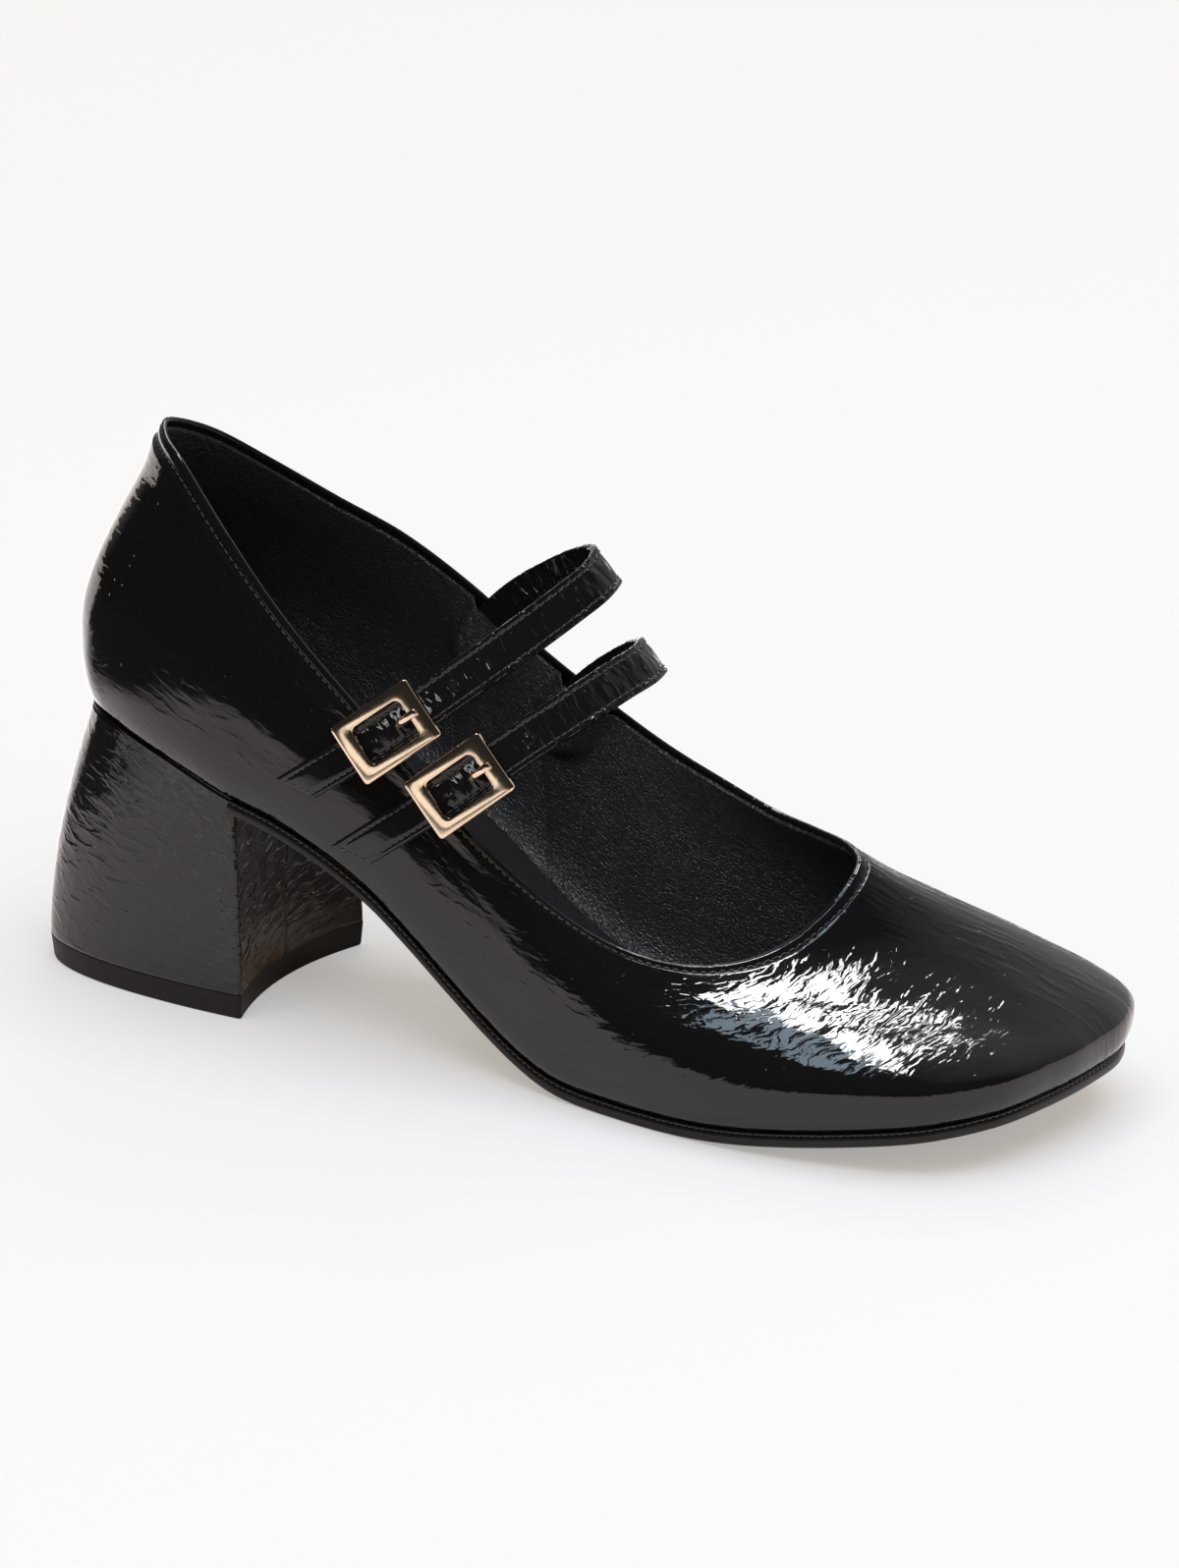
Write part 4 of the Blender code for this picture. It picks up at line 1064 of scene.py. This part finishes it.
# Buckle: a crowned profile between two rounded rectangles, a bar on two legs, and a bent tapered prong.
def buildBuckle(tag):
    look = buckleLook
    centre, a, w, o = buckleAxes(straps[tag]["path"])
    outer = roundedRect(look["long"] / 2, look["short"] / 2, look["outerCorner"], 8, 10)
    inner = roundedRect(look["long"] / 2 - look["barEnd"], look["short"] / 2 - look["barSide"],
                        look["innerCorner"], 8, 10)
    top = look["base"] + look["thick"]
    profile = [(0.06, look["base"]), (0.0, look["base"] + 0.15), (0.0, top - 0.5), (0.01, top - 0.38),
               (0.04, top - 0.26), (0.10, top - 0.10), (0.14, top - 0.04), (0.2, top - 0.01), (0.5, top),
               (0.84, top - 0.01), (0.9, top - 0.04), (0.95, top - 0.12), (0.99, top - 0.26),
               (1.0, top - 0.4), (1.0, look["base"] + 0.15), (0.96, look["base"])]
    share = np.array([p[0] for p in profile])[:, None, None]
    height = np.array([p[1] for p in profile])[:, None, None]
    plan = outer[None] * (1 - share) + inner[None] * share
    height = height - look["crown"] * ((plan[..., :1] - 3) ** 2 / 160 + (plan[..., 1:] + 2) ** 2 / 100)
    grid = centre + a * plan[..., :1] + w * plan[..., 1:] + o * height
    faces, _ = gridFaces(len(profile), len(outer), True, True)
    piece = meshPiece(f"buckle_{tag}_frame", grid, faces, paleGold)
    closedSolid(piece)
    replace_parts(piece, f"buckle_{tag}")
    reach = look["short"] / 2 - 0.8
    boxPiece(f"buckle_{tag}_bar", centre - o * 2.1, a, w, o, (1.6, 2 * reach, 1.2), 0.4, f"buckle_{tag}")
    for side, label in ((-1, "upper"), (1, "lower")):
        spot = centre + w * side * (reach - 0.55) - o * 0.35
        boxPiece(f"buckle_{tag}_leg_{label}", spot, a, o, w, (1.6, 4.0, 1.1), 0.25, f"buckle_{tag}")
    line = np.array([(1.5, -1.6), (2.1, -0.6), (2.7, 0.9), (3.8, 2.1), (5.2, 3.0), (6.6, 3.6), (8.4, 3.7)])
    spots = curveAt(line, np.linspace(0, 5.999, 40), False)
    step = unitRows(np.gradient(spots, axis=0))
    rise = np.stack([-step[:, 1], step[:, 0]], 1)
    q = np.arange(16) * np.pi / 8
    part = np.linspace(0, 1, 40)
    radius = (0.72 - 0.1 * part) * np.sqrt(np.clip((1 - part) / 0.03, 0.12, 1)) \
        * np.sqrt(np.clip(part / 0.02, 0.2, 1))
    across = 1.3 * radius[:, None] * np.cos(q)
    up = radius[:, None] * np.sin(q)
    grid = centre + a * (spots[:, None, :1] + rise[:, None, :1] * up[..., None]) \
        + o * (spots[:, None, 1:] + rise[:, None, 1:] * up[..., None]) + w * across[..., None]
    faces, _ = gridFaces(40, 16, False, True)
    prong = meshPiece(f"prong_{tag}_pin", grid, faces, paleGold, None, rowLids(16, 40))
    closedSolid(prong)
    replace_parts(prong, f"prong_{tag}")


for tag in straps:
    buildBuckle(tag)
print("buckles done")

# sewn tabs on the outer quarter, which hold the buckles' bars
chapeLook = dict(wide=7.8, thick=1.5, slant=0.8, crown=0.12, stitchIn=1.15, groove=0.12)
outerRows = upperGrid[::3, 4::2]
outerSide = outerRows[outerRows[..., 1] < -8]


# Outer quarter's y at each (x, z): a plane fitted through the nearest skin points.
def quarterY(x, z):
    q = np.stack([np.ravel(x), np.ravel(z)], 1)
    gap = ((q[:, None] - outerSide[None, :, [0, 2]]) ** 2).sum(-1)
    near = outerSide[np.argpartition(gap, 8, axis=1)[:, :8]]
    rows = np.stack([near[..., 0] - q[:, :1], near[..., 2] - q[:, 1:], np.ones(near.shape[:2])], -1)
    fit = np.linalg.pinv(rows) @ near[..., 1][..., None]
    return fit[:, 2, 0].reshape(np.shape(x))


# Tab's own directions: s runs foot to bar (0 to 1), v across in mm; gives the inner face's points.
def chapePlace(tag, s, v):
    look = chapeLook
    centre, a, w, o = buckleAxes(straps[tag]["path"])
    top = centre - o * (2.7 + last["gap"] + look["thick"])
    fx, fz = straps[tag]["foot"]
    foot = np.array([fx, quarterY(np.array([fx]), np.array([fz]))[0] - last["gap"], fz])
    end = top + a * 1.5
    length = np.linalg.norm(end - foot)
    cross = unitRows(np.array([w[0], 0, w[2]]))
    slant = a * (look["slant"] * v * (1 - s))[..., None]
    q = foot + (end - foot) * s[..., None] + cross * v[..., None] + slant
    skin = quarterY(q[..., 0], q[..., 2]) - last["gap"]
    drift = np.clip((s * length - length + 12) / 9, 0, 1)
    y = np.where(drift < 1, np.minimum(skin, (1 - drift) * skin + drift * q[..., 1]), q[..., 1])
    return np.stack([q[..., 0], y, q[..., 2]], -1), length


# Sewn tab: outer face raised over the quarter, with a bevelled rim and a stitch groove, closed at its sides.
def buildChape(tag):
    look = chapeLook
    half = look["wide"] / 2
    s = np.linspace(0, 1, 60)
    v = half * np.sin(np.linspace(-1, 1, 31) * np.pi / 2)
    inner, length = chapePlace(tag, *np.meshgrid(s, v, indexing="ij"))
    runMm = s * length
    fromEdge = np.minimum(half - np.abs(v)[None], runMm[:, None])
    relief = look["crown"] * np.clip((fromEdge - look["stitchIn"]) / 1.0, 0, 1)
    relief = relief - look["groove"] * np.exp(-((fromEdge - look["stitchIn"]) / 0.22) ** 2)
    relief = relief - 0.5 * np.clip(1 - fromEdge / 0.5, 0, 1) ** 2
    outer = inner.copy()
    outer[..., 1] -= look["thick"] + relief
    middle = inner * 0.4 + outer * 0.6
    n = len(inner)
    cross = unitRows(inner[:, -1] - inner[:, 0])
    left, right = middle[:, 0] - cross * 0.12, middle[:, -1] + cross * 0.12
    ring = np.concatenate([outer, right[:, None], inner[:, ::-1], left[:, None]], axis=1)
    faces, corners = gridFaces(n, ring.shape[1], False, True)
    girth = np.r_[v + half, 2 * half + .8, (v[::-1] + half), 0.0, 0.5]
    field = np.stack(np.meshgrid(np.r_[runMm, runMm[-1] + .3], girth, indexing="ij"), -1)
    piece = meshPiece(f"chape_{tag}_tab", ring, faces, chapePatent, (field, corners),
                      rowLids(ring.shape[1], n))
    closedSolid(piece)
    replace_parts(piece, f"chape_{tag}")
    edge = half - look["stitchIn"]
    reach = 0.78
    lines = dict(lower=(np.linspace(1, look["stitchIn"] / length, 60), np.full(60, -edge)),
                 foot=(np.full(30, look["stitchIn"] / length), np.linspace(-edge, edge, 30)),
                 upper=(np.linspace(look["stitchIn"] / length, 1, 60), np.full(60, edge)),
                 cross=(np.full(30, reach), np.linspace(edge, -edge, 30)))
    for label, (ss, vv) in lines.items():
        keep = ss <= reach + 1e-6
        spots, _ = chapePlace(tag, ss[keep], vv[keep])
        spots[:, 1] -= look["thick"] - look["groove"] + 0.02
        face = np.repeat([[0.0, -1.0, 0.0]], len(spots), 0)
        stitchRow(f"chape_{tag}_stitches_{label}", spots, face, 1.6, 1.25, 0.18, f"chape_{tag}")


for tag in straps:
    buildChape(tag)
print("tabs done")


# floor: white paper; in the gloss it reads as a painted pool of light near the shoe, painted dark beyond it,
# painted shade beside the inner quarter and a painted glow over the rear part
floorLook = dict(seen=(0.347, 0.376, 0.405), seenGlow=0.355, lit=0.66, beyond=0.03, tint=(0.975, 0.98, 1.03),
                 rearPaintedGlow=0.9, besideShade=0.1, leftEdge=(-0.28, -0.21), rearPart=(0.0, 0.07),
                 frontEdge=(-0.45, -0.14), besideY=(0.01, 0.04), besideX=(-0.16, -0.10),
                 besideToe=(0.08, 0.02), half=6.0)


# Floor: a flat sheet; its lit share, a painted pool of light less the painted shade beside the shoe, is a
# product of smoothed steps in x and y, seen by gloss rays only.
def buildFloor():
    look = floorLook
    mesh = bpy.data.meshes.new("floor")
    r = look["half"]
    mesh.from_pydata([(-r, -r, 0), (r, -r, 0), (r, r, 0), (-r, r, 0)], [], [(0, 1, 2, 3)])
    floor = bpy.data.objects.new("floor", mesh)
    bpy.context.collection.objects.link(floor)
    material, tree, surface = newFinish("floorPaper", (0.8, 0.8, 0.8), 0.9)
    surface.inputs["Specular IOR Level"].default_value = 0.1
    path = addNode(tree, "ShaderNodeLightPath")
    place = addNode(tree, "ShaderNodeTexCoord").outputs["Object"]
    axes = addNode(tree, "ShaderNodeSeparateXYZ", [("Vector", place)])
    left, rear, front, besideY, besideX, besideToe = (
        spanNode(tree, axes.outputs[axis], look[label], smooth=True)
        for axis, label in (("X", "leftEdge"), ("Y", "rearPart"), ("Y", "frontEdge"), ("Y", "besideY"),
                            ("X", "besideX"), ("X", "besideToe")))
    # painted pool of light: the floor's colour is lit near the shoe and painted dark beyond it
    litPoolShare = mathNode(tree, "MULTIPLY", mathNode(tree, "MAXIMUM", left, rear), front)
    # painted shade of the shoe on the floor beside its inner quarter
    beside = mathNode(tree, "MULTIPLY", mathNode(tree, "MULTIPLY", besideX, besideToe), besideY)
    kept = mathNode(tree, "SUBTRACT", 1.0, mathNode(tree, "MULTIPLY", beside, 1 - look["besideShade"]))
    litPoolShare = mathNode(tree, "MULTIPLY", litPoolShare, kept)
    litPoolLevel = spanNode(tree, litPoolShare, (0, 1), (look["beyond"], look["lit"]))
    litPoolTone = tree.nodes.new("ShaderNodeCombineColor")
    for k, share in enumerate(look["tint"]):
        tree.links.new(mathNode(tree, "MULTIPLY", litPoolLevel, share), litPoolTone.inputs[k])
    tone = colourMix(tree, path.outputs["Is Camera Ray"], litPoolTone.outputs[0], look["seen"])
    tree.links.new(tone, surface.inputs["Base Color"])
    surface.inputs["Emission Color"].default_value = (1, 1, 1, 1)
    # painted reflection: the rear part of the floor glows, in gloss rays only
    rearShare = mathNode(tree, "MULTIPLY", rear, mathNode(tree, "SUBTRACT", 1.0, besideX))
    inGloss = mathNode(tree, "MULTIPLY", rearShare, path.outputs["Is Glossy Ray"])
    rearPaintedGlow = mathNode(tree, "MULTIPLY", inGloss, look["rearPaintedGlow"])
    seenGlow = mathNode(tree, "MULTIPLY", path.outputs["Is Camera Ray"], look["seenGlow"])
    tree.links.new(mathNode(tree, "ADD", seenGlow, rearPaintedGlow), surface.inputs["Emission Strength"])
    mesh.materials.append(material)


# room: brighter toward the back; soft light bounces warm, and the view itself ends in near white
worldLook = dict(span=(0.1, 0.9), level=(0.02, 0.62), bounce=(0.95, 0.62, 0.33), seen=(0.94, 0.94, 0.94))


# World colour: grey that rises with the direction's y; diffuse rays get the bounce colour, the view white.
def buildWorld():
    look = worldLook
    world = bpy.data.worlds.new("studioWorld")
    bpy.context.scene.world = world
    world.use_nodes = True
    tree = world.node_tree
    direction = addNode(tree, "ShaderNodeTexCoord").outputs["Generated"]
    axes = addNode(tree, "ShaderNodeSeparateXYZ", [("Vector", direction)])
    ramp = spanNode(tree, axes.outputs["Y"], look["span"], look["level"])
    tint = tree.nodes.new("ShaderNodeCombineColor")
    for k in range(3):
        tree.links.new(ramp, tint.inputs[k])
    path = addNode(tree, "ShaderNodeLightPath")
    soft = colourMix(tree, path.outputs["Is Diffuse Ray"], tint.outputs[0], look["bounce"])
    tone = colourMix(tree, path.outputs["Is Camera Ray"], soft, look["seen"])
    tree.links.new(tone, tree.nodes["Background"].inputs["Color"])


# lights, each with its place, aim, size, watts and colour; "only" names the pieces a light falls on
shoeMiddle = (0.07, -0.02, 0.04)
lightLook = dict(
    window_near=dict(place=(-0.560, 0.675, 1.97), aim=shoeMiddle, size=(0.62, 0.13), power=6.2,
                     colour=(1.0, 0.99, 0.98), along=(-0.29, 0.957, 0), diffuse=False),
    window_far=dict(place=(-0.465, 1.165, 1.97), aim=shoeMiddle, size=(0.50, 0.08), power=2.8,
                    colour=(1.0, 0.99, 0.98), along=(0.55, 0.835, 0), diffuse=False),
    blue_panel=dict(place=(-0.722, 0.170, 1.97), aim=shoeMiddle, size=(1.10, 0.22), power=3.8,
                    colour=(0.66, 0.85, 1.0), along=(0, 1, 0), diffuse=False),
    rear_window=dict(place=(-0.68, 1.68, 1.50), aim=shoeMiddle, size=(0.75, 0.6), power=5.5,
                     colour=(1.0, 0.98, 0.95)),
    soft_ceiling=dict(place=(0.5, -0.3, 2.8), aim=(0, 0, 0), size=(3.2, 3.2), power=110,
                      colour=(0.82, 0.985, 1.16), glossy=False),
    buckle_card=dict(place=(-0.032, -0.528, -0.018), aim=(-0.012, -0.03, 0.068), size=(0.26, 0.155),
                     power=0.135, colour=(1.0, 0.97, 0.93), along=(1, 0, -0.30), only=("buckle_", "prong_")),
    inside_card=dict(place=(0.10, -0.42, 0.36), aim=(0.005, 0.025, 0.03), size=(0.12, 0.12), power=0.06,
                     colour=(0.95, 0.98, 1.04), spread=0.5, only=("insole_", "lining")),
    front_card=dict(place=(-0.04, -0.60, 0.29), aim=(-0.01, -0.03, 0.07), size=(0.42, 0.11), power=0.9,
                    colour=(0.92, 0.96, 1.0), only=("strap_", "topline_", "chape_")),
    heel_card=dict(place=(-0.17, -0.20, 0.055), aim=(-0.09, -0.03, 0.055), size=(0.34, 0.15), power=0.135,
                   colour=(1.0, 1.0, 1.0), only=("heel_cover",)),
)


# Rectangle light at its place, turned to its aim, its long side laid along the given direction.
def areaLight(name, look):
    light = bpy.data.lights.new(name, "AREA")
    light.shape = "RECTANGLE"
    light.size, light.size_y = look["size"]
    light.energy = look["power"]
    light.color = look["colour"]
    if "spread" in look:
        light.spread = look["spread"]
    obj = bpy.data.objects.new(name, light)
    bpy.context.collection.objects.link(obj)
    obj.location = look["place"]
    out = (Vector(look["place"]) - Vector(look["aim"])).normalized()
    side = Vector(look.get("along", (1, 0, 0)))
    side = (side - out * side.dot(out)).normalized()
    obj.rotation_euler = Matrix((side, out.cross(side), out)).transposed().to_euler()
    obj.visible_diffuse = look.get("diffuse", True)
    obj.visible_glossy = look.get("glossy", True)
    return obj


# Keeps a light to the pieces whose names start as given, like a small card held in for them.
def onlyFor(light, names):
    group = bpy.data.collections.new(light.name + "_pieces")
    for piece in bpy.data.objects:
        if piece.name.startswith(names):
            group.objects.link(piece)
    light.visible_camera = False
    light.light_linking.receiver_collection = group
    light.light_linking.blocker_collection = group


# All the lights, in the order of their dictionary.
def buildLights():
    for name, look in lightLook.items():
        light = areaLight(name, look)
        if "only" in look:
            onlyFor(light, look["only"])


# camera: long lens, framed on the one shoe
cameraLook = dict(azimuth=28.4, elevation=19.6, roll=0.35, distance=1763.0, target=(127.7, 21.2, 69.0),
                  lens=205.1, zoom=1.27, shift=(-0.0677, -0.0677))


# Camera: set back from its target along the given azimuth and elevation, then turned a little about its view.
def buildCamera():
    look = cameraLook
    a, e, r = (math.radians(look[k]) for k in ("azimuth", "elevation", "roll"))
    right = Vector((math.cos(a), math.sin(a), 0))
    up = Vector((-math.sin(a) * math.sin(e), math.cos(a) * math.sin(e), math.cos(e)))
    back = right.cross(up)
    right2 = right * math.cos(r) + up * math.sin(r)
    up2 = up * math.cos(r) - right * math.sin(r)
    target = (Vector(look["target"]) - Vector((*last["centre"], 0))) * 0.001
    camera = bpy.data.objects.new("camera", bpy.data.cameras.new("camera"))
    bpy.context.collection.objects.link(camera)
    camera.location = target + back * look["distance"] * 0.001
    matrix = Matrix((right2, up2, back)).transposed().to_4x4()
    camera.rotation_euler = matrix.to_euler()
    camera.data.sensor_width = 36
    camera.data.sensor_fit = "HORIZONTAL"
    camera.data.lens = look["lens"] * look["zoom"]
    camera.data.shift_x, camera.data.shift_y = look["shift"]
    camera.data.clip_start, camera.data.clip_end = 0.1, 30
    bpy.context.scene.camera = camera


buildFloor()
buildWorld()
buildLights()
buildCamera()
bpy.context.scene.view_settings.view_transform = "Standard"
bpy.context.scene.view_settings.look = "None"
print("studio and camera done")
